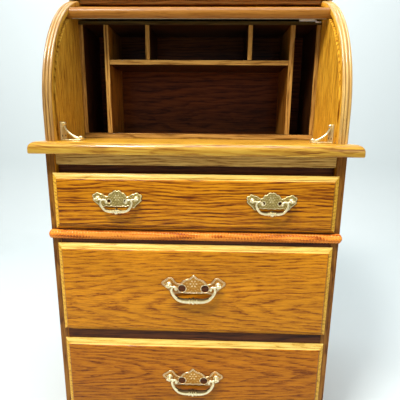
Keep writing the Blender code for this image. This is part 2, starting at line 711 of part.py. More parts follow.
def build_pull(name, x, z, size, slide):
    """Pierced plate with two eye posts, and a bail that swings in the eyes."""
    face = -GAP - FRONT_THICK
    plate_back = face - GAP
    pivot_y = face - PIVOT_REACH
    post_x = size["spacing"] / 2
    pin_hole = size["pin"] + PIN_CLEAR
    eye = pin_hole + EYE_WALL

    loops = [plate_outline(size)]
    for side in (-1, 1):
        loops.append(circle_points(side * size["hole_x"], -size["hole_drop"], size["hole"]))
    mesh = outline_mesh(loops, -PLATE_THICK, 0, "Y")
    plate = add_piece("pull_plate_" + name, mesh, slide, (x, plate_back, z))

    upright = Matrix.Rotation(math.radians(90), 4, "X")
    across = Matrix.Rotation(math.radians(90), 4, "Y")
    post_start = plate_back - PLATE_THICK / 2
    post_length = post_start - pivot_y
    for side, hand in ((-1, "left"), (1, "right")):
        place = x + side * post_x
        post = add_piece(f"post_{name}_{hand}", round_mesh(POST_RADIUS, post_length, 12, upright),
                         slide, (place, (post_start + pivot_y) / 2, z), CUTTERS)
        ball = add_piece(f"eye_{name}_{hand}", ball_mesh(eye), slide, (place, pivot_y, z), CUTTERS)
        bore = add_piece(f"bore_{name}_{hand}", round_mesh(pin_hole, 4 * eye, 12, across),
                         slide, (place, pivot_y, z), CUTTERS)
        add_boolean(plate, post, "UNION")
        add_boolean(plate, ball, "UNION")
        add_boolean(plate, bore, "DIFFERENCE")
    finish_piece(plate, BRASS, 0.35, 1.0)

    bail = add_piece("bail_" + name, bail_mesh(size, post_x + eye), slide, (x, pivot_y, z))
    bail.data.shade_smooth()
    finish_piece(bail, BRASS, 0.3, 1.0)


def bail_mesh(size, pin_end):
    """Pins in the eyes, necks inside the posts and a thick bar with a central bead.

    The route runs from one pin over its neck to the bead as across, up and radius, each
    a multiple of the pin, the drop or the bar it follows, and is mirrored.
    """
    post = size["spacing"] / 2
    drop = size["drop"]
    pin = size["pin"]
    bar = size["bar"]
    bead = size["bead"]
    neck = post - NECK_INSET * pin - bar
    half = [(pin_end, 0.0, pin), (post, 0.0, pin), (neck + 1.9 * pin, -0.0004, pin),
            (neck + 0.4 * pin, -0.10 * drop, pin * 1.15), (neck, -0.32 * drop, pin * 1.3),
            (neck - 0.01 * drop, -0.58 * drop, pin * 1.5),
            (neck - 0.14 * drop, -0.82 * drop, bar * 0.85),
            (neck - 0.42 * drop, -0.98 * drop, bar), (bead * 1.7, -drop, bar)]
    knob = [(bead * 1.25, -drop, bar * 0.75), (bead * 0.75, -drop, bead * 0.82),
            (0.0, -drop, bead)]
    route = smooth_points(half, 3) + knob
    route = route + [(-px, pz, pr) for px, pz, pr in route[-2::-1]]

    curve = bpy.data.curves.new("bail", "CURVE")
    curve.dimensions = "3D"
    curve.bevel_depth = 1.0
    curve.bevel_resolution = 2
    curve.use_fill_caps = True
    spline = curve.splines.new("POLY")
    spline.points.add(len(route) - 1)
    for point, (px, pz, radius) in zip(spline.points, route):
        point.co = (px, 0.0, pz, 1.0)
        point.radius = radius
    guide = bpy.data.objects.new("bail", curve)
    CUTTERS.objects.link(guide)
    depsgraph = bpy.context.evaluated_depsgraph_get()
    mesh = bpy.data.meshes.new_from_object(guide.evaluated_get(depsgraph))
    bpy.data.objects.remove(guide, do_unlink=True)
    return closed_mesh(mesh)


build_case()
build_rope_moulding()
build_surface_and_top()
build_upper_sides()
build_tambour()
build_pigeonholes()
build_braces()
for drawer_name, drawer_height in zip(DRAWER_NAMES, DRAWER_HEIGHTS):
    build_drawer(drawer_name, drawer_height)
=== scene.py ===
"""Looks of the roll top desk: lacquered oak boards with worked edges, a reeded tambour,
antique brass pulls and braces, a small plated catch, studio light and the camera.

Metres in the frame's own axes: +Z up, +X to the right, front towards -Y. Places come from
the frame's boxes and joints, and sizes that only the looks need are named below.
"""
import json
import math

import bmesh
import bpy
from mathutils import Matrix, Vector


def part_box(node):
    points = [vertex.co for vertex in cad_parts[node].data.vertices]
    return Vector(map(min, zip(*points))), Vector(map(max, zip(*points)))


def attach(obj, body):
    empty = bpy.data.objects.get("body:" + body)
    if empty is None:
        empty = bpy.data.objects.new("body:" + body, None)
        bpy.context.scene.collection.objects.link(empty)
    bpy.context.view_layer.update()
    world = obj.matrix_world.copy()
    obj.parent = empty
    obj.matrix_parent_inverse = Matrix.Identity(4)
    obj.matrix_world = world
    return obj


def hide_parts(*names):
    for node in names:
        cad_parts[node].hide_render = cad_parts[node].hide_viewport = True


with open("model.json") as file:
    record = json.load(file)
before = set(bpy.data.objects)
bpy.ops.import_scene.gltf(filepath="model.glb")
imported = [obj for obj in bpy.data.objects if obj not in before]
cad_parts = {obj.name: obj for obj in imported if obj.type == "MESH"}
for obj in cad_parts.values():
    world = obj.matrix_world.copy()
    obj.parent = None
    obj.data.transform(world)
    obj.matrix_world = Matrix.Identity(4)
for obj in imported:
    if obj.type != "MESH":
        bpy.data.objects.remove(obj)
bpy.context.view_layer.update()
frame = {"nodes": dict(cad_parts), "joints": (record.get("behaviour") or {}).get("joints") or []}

MM = 0.001

# -------- sizes of the finish
BOARD_EASE = 0.0012  # softened arris of an ordinary board
THIN_EASE = 0.0007  # softened arris of a thin board
REED_COUNT = 3  # beads along the front edge of an upper side
REED_STEPS = 8  # facets across one reed
REED_DEPTH = 0.0026
TRACK_HALF = 0.0048  # half the width of the tambour's groove
TRACK_DEPTH = 0.009
TRACK_CUTTER_OUT = 0.004  # how far the groove's cutter stands out of the panel
TRACK_TURN = (math.radians(-16.0), math.radians(147.57))
TRACK_RADIUS = 0.250  # roll centre to the middle of the groove and slats
SLAT_COUNT = 14
SLAT_PITCH = math.radians(91.0 / 15)
OPEN_ANGLE = math.radians(56.6)
SLAT_HALF_THICK = 0.004
SLAT_CROWN = 0.0046  # height of a slat's rounded face
SLAT_SHOULDER = 0.0016  # step from a slat down to its end tongue
SLAT_GAP = 0.0003  # half the joint between two slats
SLAT_END_GAP = 0.0008  # slat shoulder to the upper side
BAR_DEPTH = 0.017  # how far the lift bar stands out
BAR_END_GAP = 0.0012
THREAD_PITCH = 0.0011
ROPE_PITCH = 0.0062
ROPE_GROOVE = 0.0014
ROPE_LEAD = 0.9  # pitches that a strand shifts over the half round
ROPE_END = 0.007  # length of the rounded end
PLINTH_FOOT = 0.110  # straight foot at each end of the base board
PLINTH_RISE = 0.030  # height of its arch
PLINTH_FULLNESS = 2.2  # how soon the arch reaches that height
SURFACE_EDGE = 0.0150  # width of the writing surface's rounded edge
SURFACE_CORNER = 0.004  # plan radius of its front corners
CORNER_STEPS = 8  # facets round such a corner
FRONT_BAND = 0.0078  # sloping band round a drawer front
FRONT_LIP = 0.0028  # thickness at the outside of that band
FRONT_RISE = 0.0066  # thickness at its inside
FRONT_QUIRK = 0.0010  # sunk line between the band and the bead
FRONT_BEAD = 0.0046  # width of the rounded step up to the flat field
FRONT_ARRIS = 0.0012  # softened outer corner of a drawer front
FRONT_CROWN = 0.0006  # swell of the sloping band
CATCH_INSET = 0.0155  # end of the unit's top to the end of the catch's bolt
BOLT_LENGTH = 0.034
BRACE_THICK = 0.002
BRACE_EASE = 0.0008
STRUT_RADIUS = 0.0021
STRUT_TAPER = 0.0012  # how much thicker the strut is at its foot
SCREW_RADIUS = 0.0022
SCREW_RISE = 0.0007
POST_SINK = 0.0014  # how far a post starts inside its plate
HOLE_SHADE_OVER = 0.8  # millimetres that a dark disc of painted shade behind a hole is wider than the hole
CAMERA_PLACE = (0.0302, -0.6747, 0.7708)  # from the middle, the case's front and the floor
CAMERA_LENS = 31.07
CAMERA_TURNS = (12.43, 1.59, 0.569)  # degrees down, to the left and clockwise


# -------- node trees
class Shade:
    """A material whose node tree is built by small calls."""

    def __init__(self, name):
        self.material = bpy.data.materials.new(name)
        self.material.use_nodes = True
        self.nodes = self.material.node_tree.nodes
        self.links = self.material.node_tree.links
        self.shader = self.nodes["Principled BSDF"]

    def feed(self, socket, value):
        if isinstance(value, bpy.types.NodeSocket):
            self.links.new(value, socket)
        else:
            socket.default_value = value

    def node(self, kind, inputs, **settings):
        made = self.nodes.new(kind)
        for key, value in settings.items():
            setattr(made, key, value)
        for key, value in inputs.items():
            self.feed(made.inputs[key], value)
        return made

    def place(self):
        """Where a point lies on its piece, in metres."""
        return self.node("ShaderNodeTexCoord", {}).outputs["Object"]

    def math(self, operation, first, second=0.0, clamp=False):
        made = self.node("ShaderNodeMath", {0: first, 1: second}, operation=operation, use_clamp=clamp)
        return made.outputs[0]

    def add(self, total, value, weight, clamp=False):
        """The total with a share of the value added."""
        return self.math("ADD", total, self.math("MULTIPLY", value, weight), clamp)

    def noise(self, vector, detail=2.0, roughness=0.5, scale=1.0):
        made = self.node("ShaderNodeTexNoise", {"Vector": vector, "Scale": scale,
                                                "Detail": detail, "Roughness": roughness})
        return made.outputs["Fac"]

    def stretch(self, vector, along, across, depth=None):
        """The same vector on other scales, in waves per metre."""
        scales = (along, across, across if depth is None else depth)
        made = self.node("ShaderNodeVectorMath", {0: vector, 1: scales}, operation="MULTIPLY")
        return made.outputs[0]

    def ramp(self, factor, stops):
        made = self.node("ShaderNodeValToRGB", {"Fac": factor})
        stops = tuple(stops)
        elements = made.color_ramp.elements
        while len(elements) < len(stops):
            elements.new(1.0)
        for element, (place, colour) in zip(elements, stops):
            element.position = place
            element.color = (*colour, 1.0)
        return made.outputs["Color"]

    def span(self, value, low, high):
        """0 at low and 1 at high, clamped."""
        made = self.node("ShaderNodeMapRange", {"Value": value, "From Min": low, "From Max": high})
        return made.outputs["Result"]

    def tint(self, colour, factor, low, high):
        """Darken or lighten a colour by a factor between low and high."""
        amount = self.node("ShaderNodeMapRange", {"Value": factor, "To Min": low, "To Max": high})
        made = self.node("ShaderNodeVectorMath", {0: colour, 3: amount.outputs["Result"]},
                         operation="SCALE")
        return made.outputs[0]

    def bump(self, height, distance, strength=0.6):
        made = self.node("ShaderNodeBump", {"Height": height, "Distance": distance, "Strength": strength})
        self.links.new(made.outputs["Normal"], self.shader.inputs["Normal"])

    def set(self, name, value):
        self.feed(self.shader.inputs[name], value)

    def gloss(self, roughness, coat=0.0, coat_roughness=0.1):
        self.set("Roughness", roughness)
        self.set("Coat Weight", coat)
        self.set("Coat Roughness", coat_roughness)


# Where the four tones of a wood stand, and its colours from the lightest to the open pores
WOOD_STOPS = (0.0, 0.26, 0.62, 1.0)
GOLDEN = ((0.6, 0.235, 0.006), (0.45, 0.158, 0.004), (0.2, 0.047, 0.002), (0.075, 0.014, 0.001))
TAWNY = ((0.47, 0.16, 0.004), (0.35, 0.106, 0.003), (0.15, 0.032, 0.001), (0.055, 0.01, 0.001))
HONEY = ((0.84, 0.48, 0.048), (0.67, 0.34, 0.024), (0.35, 0.128, 0.008), (0.14, 0.036, 0.003))
OLIVE = ((0.6, 0.35, 0.045), (0.44, 0.228, 0.021), (0.22, 0.082, 0.006), (0.09, 0.025, 0.002))
REED = ((0.66, 0.42, 0.12), (0.5, 0.29, 0.07), (0.26, 0.12, 0.022), (0.12, 0.045, 0.008))
# Painted highlight for the rounded front edge of the writing surface:
RIM_HIGHLIGHT = ((0.5, 0.3, 0.04), (0.41, 0.215, 0.022), (0.25, 0.105, 0.009), (0.13, 0.04, 0.003))
UMBER = ((0.29, 0.12, 0.017), (0.22, 0.082, 0.009), (0.11, 0.034, 0.003), (0.045, 0.012, 0.001))
EDGE = ((0.48, 0.27, 0.07), (0.34, 0.18, 0.04), (0.17, 0.078, 0.014), (0.08, 0.03, 0.005))
DUSK = ((0.09, 0.064, 0.02), (0.064, 0.042, 0.012), (0.034, 0.02, 0.005), (0.016, 0.008, 0.002))
# Painted highlight for the upward-facing band of the drawer fronts:
CREAM_HIGHLIGHT = ((0.84, 0.6, 0.16), (0.74, 0.48, 0.1), (0.48, 0.25, 0.035), (0.26, 0.1, 0.01))
RUSSET = ((0.9, 0.33, 0.045), (0.7, 0.21, 0.022), (0.36, 0.07, 0.006), (0.12, 0.018, 0.002))
DEEP = ((0.125, 0.036, 0.006), (0.085, 0.022, 0.004), (0.043, 0.01, 0.002), (0.02, 0.004, 0.001))
SHADED = ((0.05, 0.018, 0.004), (0.032, 0.01, 0.003), (0.016, 0.005, 0.001), (0.006, 0.002, 0.001))
PALE = ((0.7, 0.5, 0.27), (0.6, 0.4, 0.19), (0.45, 0.27, 0.11), (0.28, 0.15, 0.06))


def wood(name, axes, tones, centre=(0.0, 0.0, 0.0), tilt=3.0, ring=0.0055, figure=1.0,
         wander=5.0, coat=0.10, roughness=0.36, coat_roughness=0.10):
    """Flat-sawn oak. axes names the directions along, across and into the board.

    The growth rings are cylinders about a line through centre that leans by tilt degrees
    into the board, so that a face cut near it shows arches and one far from it lines.
    """
    shade = Shade(name)
    place = shade.place()
    parts = shade.node("ShaderNodeSeparateXYZ", {0: place}).outputs
    along, across, depth = (shade.math("SUBTRACT", parts["XYZ".index(axis)], middle)
                            for axis, middle in zip(axes, centre))
    depth = shade.add(depth, along, math.tan(math.radians(tilt)))
    grain = shade.node("ShaderNodeCombineXYZ", {0: along, 1: across, 2: depth}).outputs[0]

    sway = shade.noise(shade.stretch(grain, 3.0, 9.0), 2.0)
    ripple = shade.noise(shade.stretch(grain, 16.0, 70.0), 2.0)
    radius = shade.math("SQRT", shade.math("ADD", shade.math("POWER", across, 2.0),
                                           shade.math("POWER", depth, 2.0)))
    turns = shade.math("DIVIDE", radius, ring)
    turns = shade.add(turns, sway, wander)
    turns = shade.add(turns, ripple, 1.3)
    share = shade.math("FRACT", turns)
    early = shade.math("MULTIPLY", shade.span(share, 0.0, 0.10), shade.span(share, 0.62, 0.16))

    fleck = shade.noise(shade.stretch(grain, 22.0, 330.0), 3.0, 0.6)
    pore = shade.noise(shade.stretch(grain, 75.0, 1900.0), 1.0)
    fleck_dark = shade.span(fleck, 0.40, 0.66)
    pore_dark = shade.span(pore, 0.52, 0.70)
    broken = shade.math("MULTIPLY", early, shade.math("ADD", 0.30, fleck_dark))
    streak = shade.noise(shade.stretch(grain, 11.0, 260.0), 5.0, 0.66)
    streak_dark = shade.span(streak, 0.46, 0.66)
    dark = shade.math("MULTIPLY", broken, 0.40 * figure)
    dark = shade.add(dark, streak_dark, 0.46 * figure)
    dark = shade.add(dark, fleck_dark, 0.15)
    dark = shade.add(dark, pore_dark, shade.add(0.08, early, 0.30), clamp=True)

    colour = shade.ramp(dark, zip(WOOD_STOPS, tones))
    tone = shade.noise(shade.stretch(grain, 4.0, 26.0), 1.0)
    shade.set("Base Color", shade.tint(colour, tone, 0.80, 1.20))
    shade.bump(shade.math("MULTIPLY", dark, -1.0), 0.00025, 0.35)
    shade.gloss(roughness, coat, coat_roughness)
    shade.set("Specular IOR Level", 0.10)
    return shade.material


def bent_wood(name, tones):
    """Oak whose grain follows any curve in the plane of Y and Z."""
    shade = Shade(name)
    place = shade.place()
    streak = shade.noise(shade.stretch(place, 300.0, 9.0), 4.0, 0.6)
    fine = shade.noise(shade.stretch(place, 1300.0, 40.0), 2.0)
    dark = shade.math("MULTIPLY", shade.span(streak, 0.40, 0.68), 0.5)
    dark = shade.add(dark, shade.span(fine, 0.45, 0.70), 0.3)
    colour = shade.ramp(dark, zip(WOOD_STOPS, tones))
    shade.set("Base Color", colour)
    shade.bump(shade.math("MULTIPLY", dark, -1.0), 0.00025, 0.35)
    shade.gloss(0.36, 0.3, 0.10)
    return shade.material


# The same for brass, from the pits and the bails' painted shade over the plain ground to the rims rubbed
# bright
BRASS_STOPS = (0.0, 0.22, 0.55, 0.92)
YELLOW_CAST = ((0.045, 0.028, 0.008), (0.27, 0.19, 0.045), (0.56, 0.42, 0.14), (0.95, 0.86, 0.56))
ORANGE_CAST = ((0.045, 0.016, 0.004), (0.4, 0.15, 0.015), (0.56, 0.28, 0.05), (0.95, 0.86, 0.58))


def antique_brass(name, tones):
    """Cast brass: bright on the high relief, brown in the recesses, and dark where the bails' tops carry
    painted shade.
    """
    shade = Shade(name)
    place = shade.place()
    relief = shade.node("ShaderNodeAttribute", {}, attribute_name="relief").outputs["Fac"]
    cloud = shade.noise(place, 3.0, 0.6, 170.0)
    grit = shade.noise(place, 2.0, 0.5, 1400.0)
    wear_and_shade = shade.add(relief, shade.math("SUBTRACT", cloud, 0.5), 0.4)
    colour = shade.ramp(wear_and_shade, zip(BRASS_STOPS, tones))
    shade.set("Base Color", colour)
    shade.set("Metallic", 0.72)
    rough = shade.node("ShaderNodeMapRange", {"Value": wear_and_shade, "To Min": 0.50, "To Max": 0.26})
    shade.gloss(rough.outputs["Result"])
    shade.bump(grit, 0.00008, 0.3)
    return shade.material


def woven_canvas(name):
    """Plain weave behind the slats."""
    shade = Shade(name)
    place = shade.place()
    parts = shade.node("ShaderNodeSeparateXYZ", {0: place}).outputs
    threads = 2 * math.pi / THREAD_PITCH
    warp = shade.math("SINE", shade.math("MULTIPLY", parts["X"], threads))
    around = shade.math("ADD", parts["Y"], parts["Z"])
    weft = shade.math("SINE", shade.math("MULTIPLY", around, threads))
    weave = shade.math("MULTIPLY", warp, weft)
    fuzz = shade.noise(place, 3.0, 0.6, 220.0)
    mixed = shade.add(fuzz, weave, 0.25)
    colour = shade.ramp(mixed, ((0.2, (0.22, 0.17, 0.10)), (0.8, (0.46, 0.38, 0.25))))
    shade.set("Base Color", colour)
    shade.bump(weave, 0.0002, 0.7)
    shade.gloss(0.9)
    shade.set("Sheen Weight", 0.2)
    return shade.material


def plain_metal(name, colour, roughness, metallic=1.0):
    """Plated or blackened steel with fine brush marks."""
    shade = Shade(name)
    place = shade.place()
    brush = shade.noise(shade.stretch(place, 300.0, 5000.0), 2.0)
    shade.set("Base Color",
              shade.tint(shade.ramp(brush, ((0.0, colour), (1.0, colour))), brush, 0.8, 1.15))
    shade.set("Metallic", metallic)
    shade.gloss(roughness)
    shade.bump(brush, 0.00005, 0.3)
    return shade.material


# -------- meshes
def link_object(name, data):
    made = bpy.data.objects.new(name, data)
    bpy.context.scene.collection.objects.link(made)
    return made


def make_piece(name, verts, faces, material, sharp=30.0):
    """A mesh object, smooth except across edges sharper than the given angle."""
    mesh = bpy.data.meshes.new(name)
    mesh.from_pydata([tuple(vert) for vert in verts], [], faces)
    shape = bmesh.new()
    shape.from_mesh(mesh)
    bmesh.ops.remove_doubles(shape, verts=shape.verts, dist=1e-7)
    bmesh.ops.recalc_face_normals(shape, faces=shape.faces)
    shape.to_mesh(mesh)
    shape.free()
    mesh.shade_smooth()
    mesh.set_sharp_from_angle(angle=math.radians(sharp))
    mesh.materials.append(material)
    return link_object(name, mesh)


def sweep(start, stop, steps):
    """Equal steps from start to stop, with both ends."""
    return [start + (stop - start) * index / steps for index in range(steps + 1)]


def loft(rings):
    """Vertices and faces of a solid over closed rings of equal length."""
    size = len(rings[0])
    verts = [point for ring in rings for point in ring]
    faces = []
    for row in range(len(rings) - 1):
        for index in range(size):
            after = (index + 1) % size
            faces.append((row * size + index, row * size + after,
                          (row + 1) * size + after, (row + 1) * size + index))
    faces.append(tuple(range(size)))
    faces.append(tuple((len(rings) - 1) * size + index for index in range(size)))
    return verts, faces


def gather(parts):
    """Several (verts, faces) as one."""
    verts, faces = [], []
    for some_verts, some_faces in parts:
        start = len(verts)
        verts.extend(some_verts)
        faces.extend(tuple(start + index for index in face) for face in some_faces)
    return verts, faces


def curve_through(points, per_span, closed=False):
    """Catmull-Rom curve through points of any number of coordinates."""
    count = len(points)
    smooth = []
    for span in range(count if closed else count - 1):
        window = [points[index % count if closed else min(max(index, 0), count - 1)]
                  for index in range(span - 1, span + 3)]
        for step in range(per_span):
            t = step / per_span
            weights = ((-t + 2 * t * t - t ** 3) / 2, (2 - 5 * t * t + 3 * t ** 3) / 2,
                       (t + 4 * t * t - 3 * t ** 3) / 2, (-t * t + t ** 3) / 2)
            smooth.append(tuple(sum(weight * point[axis] for weight, point in zip(weights, window))
                                for axis in range(len(points[0]))))
    if not closed:
        smooth.append(tuple(points[-1]))
    return smooth


def tube(route, sides=16, y=0.0):
    """A round bar along (x, z, radius) points, with flat ends."""
    rings = []
    path = [Vector((x, y, z)) for x, z, radius in route]
    for index, point in enumerate(path):
        before = path[max(index - 1, 0)]
        after = path[min(index + 1, len(path) - 1)]
        heading = (after - before).normalized()
        normal = Vector((-heading.z, 0, heading.x))
        ring = []
        for angle in sweep(0, 2 * math.pi, sides)[:-1]:
            offset = normal * math.cos(angle) + Vector((0, 1, 0)) * math.sin(angle)
            ring.append(point + offset * route[index][2])
        rings.append(ring)
    return loft(rings)


def circle(centre, radius, sides, first, second):
    """Points round a centre, in the plane of two of the axes 0, 1 and 2."""
    points = []
    for angle in sweep(0, 2 * math.pi, sides)[:-1]:
        point = list(centre)
        point[first] += radius * math.cos(angle)
        point[second] += radius * math.sin(angle)
        points.append(Vector(point))
    return points


def turned(profile, centre, sides=24):
    """A turned piece about an axis along Y; the profile holds (y, radius) pairs."""
    x, start, z = centre
    return loft([circle((x, start + y, z), radius, sides, 0, 2) for y, radius in profile])


def ball(centre, radius, sides=16):
    x, y, z = centre
    return loft([circle((x, y, z + radius * math.cos(angle)), radius * math.sin(angle), sides, 0, 1)
                 for angle in sweep(0, math.pi, 10)[1:-1]])


def fit(piece, body, slot, *nodes):
    """Put a finished piece on its body in place of its CAD nodes."""
    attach(piece, body)
    if nodes:
        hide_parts(*nodes)
    return piece


def fit_brass(piece, wear_and_shade, body, *nodes):
    """Fit a brass piece, with how bright its wear has left it, and on the bails' tops painted shade: one
    value, or one for each vertex.
    """
    if not isinstance(wear_and_shade, list):
        wear_and_shade = [wear_and_shade] * len(piece.data.vertices)
    piece.data.attributes.new("relief", "FLOAT", "POINT").data.foreach_set("value", wear_and_shade)
    fit(piece, body, "brass", *nodes)


def add_ease(piece, width, segments=2):
    bevel = piece.modifiers.new("ease", "BEVEL")
    bevel.width = width
    bevel.segments = segments
    bevel.limit_method = "ANGLE"
    bevel.angle_limit = math.radians(35)
    bevel.harden_normals = True


def block(name, low, high, material, ease, segments=2):
    """A box between two corners, with softened arrises."""
    corners = [Vector((x, y, z)) for x in (low[0], high[0]) for y in (low[1], high[1])
               for z in (low[2], high[2])]
    faces = [(0, 1, 3, 2), (4, 6, 7, 5), (0, 4, 5, 1), (2, 3, 7, 6), (0, 2, 6, 4), (1, 5, 7, 3)]
    piece = make_piece(name, corners, faces, material)
    add_ease(piece, ease, segments)
    return piece


def board(node, material, slot="oak", ease=BOARD_EASE, edge=None):
    """A board of the case in the place of a box-shaped node.

    edge is the material of the faces that look to the front.
    """
    piece = block(node + "_board", *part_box(node), material, ease, 3)
    if edge is not None:
        paint(piece, edge, lambda face: face.normal.y < -0.5)
    return fit(piece, "root", slot, node)


def paint(piece, material, chosen):
    """Give one more material to the faces that the test picks."""
    piece.data.materials.append(material)
    index = len(piece.data.materials) - 1
    for face in piece.data.polygons:
        if chosen(face):
            face.material_index = index


def keep_node(node, material, ease=None):
    """A CAD node that stays, with its own material and softened arrises."""
    piece = frame["nodes"][node]
    piece.data.materials.clear()
    piece.data.materials.append(material)
    if ease is not None:
        weld = piece.modifiers.new("weld", "WELD")
        weld.merge_threshold = 0.00001
        add_ease(piece, ease)


# -------- case
def build_case():
    for side in ("left", "right"):
        low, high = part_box("lower_side_" + side)
        middle = (low + high) / 2
        material = wood("oak_lower_side_" + side, "ZYX", GOLDEN,
                        (0.30, middle.y + 0.03, middle.x + 0.05), 3.5)
        edge = wood("oak_side_edge_" + side, "ZXY", UMBER, (0, middle.x, low.y + 0.2), 0.5)
        board("lower_side_" + side, material, edge=edge, ease=0.0022)

    dark = wood("oak_frames", "XZY", DEEP, (0, 0.1, 0.4), 1.0)
    for name in ("frame_lower", "frame_middle", "frame_top"):
        keep_node(name, dark, 0.0008)
    keep_node("case_bottom", dark, 0.0008)
    keep_node("back_panel", wood("ply_back", "ZXY", PALE, (0.4, 0.02, 0.10), 2.0, 0.009,
                                 coat=0.0, roughness=0.62), 0.0005)

    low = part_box("apron_strip")[0]
    material = wood("oak_apron", "XZY", REED, (0, low.z - 0.05, low.y), 0.6)
    board("apron_strip", material, ease=0.0030)
    build_plinth()


def build_plinth():
    """Base board with a low arch, in the place of the CAD one."""
    low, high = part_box("plinth_front")
    half = high.x
    arch = half - PLINTH_FOOT
    under = [(-half, low.z), (-arch, low.z)]
    for share in sweep(0, 1, 48)[1:-1]:
        wave = 0.5 - 0.5 * math.cos(2 * math.pi * share)
        under.append((-arch + 2 * arch * share, low.z + PLINTH_RISE * min(1.0, PLINTH_FULLNESS * wave)))
    under += [(arch, low.z), (half, low.z), (half, high.z), (-half, high.z)]
    rings = [[Vector((x, y, z)) for x, z in under] for y in (low.y, high.y)]
    material = wood("oak_plinth", "XZY", GOLDEN, (0.05, low.z + 0.01, high.y + 0.03), 3.0)
    piece = make_piece("plinth_board", *loft(rings), material)
    add_ease(piece, BOARD_EASE)
    fit(piece, "root", "oak", "plinth_front")


def build_rope_moulding():
    """Half-round moulding worked as a fine rope, with rounded ends."""
    low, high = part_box("rope_moulding")
    radius_y = high.y - low.y
    radius_z = (high.z - low.z) / 2
    centre = (low.z + high.z) / 2
    per_pitch = 8
    count = round((high.x - low.x) / ROPE_PITCH * per_pitch)
    around = 18
    rings = []
    for index in range(count + 1):
        x = low.x + (high.x - low.x) * index / count
        from_end = min(x - low.x, high.x - x) / ROPE_END
        shrink = math.sqrt(max(0.12, 1 - (1 - min(1.0, from_end)) ** 2))
        ring = [Vector((x, high.y, centre + radius_z * shrink)),
                Vector((x, high.y, centre - radius_z * shrink))]
        for step in range(1, around):
            angle = math.pi * step / around
            phase = math.pi * (x / ROPE_PITCH + ROPE_LEAD * step / around)
            groove = ROPE_GROOVE * (1 - abs(math.sin(phase)) ** 0.6) * math.sin(angle) ** 0.5
            swell = (1 - groove / radius_y) * shrink
            ring.append(Vector((x, high.y - radius_y * math.sin(angle) * swell,
                                centre - radius_z * math.cos(angle) * swell)))
        rings.append(ring)
    material = wood("oak_rope", "XZY", RUSSET, (0, centre - 0.02, high.y + 0.1), 0.4)
    piece = make_piece("rope_moulding_strands", *loft(rings), material, 50)
    fit(piece, "root", "rope_oak", "rope_moulding")


# -------- writing surface, top
def plan_ring(low, high, inset, height, corner):
    """Outline of a shelf seen from above: round front corners, straight back edge."""
    radius = max(corner - inset, 0.0015)
    left, right, front = low.x + inset, high.x - inset, low.y + inset
    ring = [Vector((right, high.y, height)), Vector((left, high.y, height))]
    for centre_x, start in ((left + radius, 180), (right - radius, 270)):
        for angle in map(math.radians, sweep(start, start + 90, CORNER_STEPS)):
            ring.append(Vector((centre_x + radius * math.cos(angle),
                                front + radius + radius * math.sin(angle), height)))
    return ring


def thumbnail(low, high, width, lip):
    """(inset, height) pairs of a rounded edge above a thin lip."""
    thick = high.z - low.z
    pairs = [(0.0018, 0.0), (0.0007, 0.0006), (0.0001, 0.0016), (0.0, 0.0024), (0.0, lip)]
    for angle in sweep(0, math.pi / 2, 12)[1:]:
        pairs.append((width * (1 - math.cos(angle)), lip + (thick - lip) * math.sin(angle)))
    return [(inset, low.z + height) for inset, height in pairs]


def build_surface_and_top():
    low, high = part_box("writing_surface")
    rings = [plan_ring(low, high, inset, height, SURFACE_CORNER)
             for inset, height in thumbnail(low, high, SURFACE_EDGE, 0.0085)]
    material = wood("oak_writing_surface", "XYZ", HONEY, (0.04, 0.10, high.z - 0.05), 1.6,
                    coat=0.6, coat_roughness=0.08)
    piece = make_piece("writing_surface_board", *loft(rings), material)
    # Painted highlight: the rounded front edge gets a paler tone than the top, standing in for the light
    # it catches.
    rim = wood("oak_surface_rim", "XYZ", RIM_HIGHLIGHT, (0.04, 0.10, high.z - 0.05), 1.6, coat=0.5)
    paint(piece, rim, lambda face: -0.3 < face.normal.z < 0.97 and face.normal.y < 0.5)
    fit(piece, "root", "oak", "writing_surface")

    low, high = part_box("top_board")
    rings = [plan_ring(low, high, inset, height, 0.006)
             for inset, height in thumbnail(low, high, 0.007, 0.006)]
    material = wood("oak_top_board", "XYZ", GOLDEN, (-0.05, 0.16, high.z - 0.06), 2.4)
    piece = make_piece("top_board_moulded", *loft(rings), material)
    fit(piece, "root", "oak", "top_board")

    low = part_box("top_rail")[0]
    board("top_rail", wood("oak_top_rail", "XZY", EDGE, (0, low.z - 0.04, low.y), 0.5), ease=THIN_EASE)


# -------- upper sides
def joint_place(name):
    return Vector(next(joint for joint in frame["joints"] if joint["name"] == name)["pos_m"])


ROLL_CENTRE = joint_place("tambour_roll")


def polar(x, radius, angle):
    """A point about the roll's axis; angle 0 is to the front and a quarter turn is up."""
    return Vector((x, ROLL_CENTRE.y - radius * math.cos(angle), ROLL_CENTRE.z + radius * math.sin(angle)))


def upper_side_outline(low, high):
    """Front edge, arc, flat top, back and foot, each point with its inward normal, or with
    none where there is no reeding."""
    radius = ROLL_CENTRE.y - low.y
    top_angle = math.asin((high.z - ROLL_CENTRE.z) / radius)
    points = []
    for z in sweep(low.z, ROLL_CENTRE.z, 6)[:-1]:
        points.append((low.y, z, 1.0, 0.0))
    for angle in sweep(0, top_angle, 60):
        spot = polar(0, radius, angle)
        points.append((spot.y, spot.z, math.cos(angle), -math.sin(angle)))
    return points + [(high.y, high.z, 0.0, 0.0), (high.y, low.z, 0.0, 0.0)]


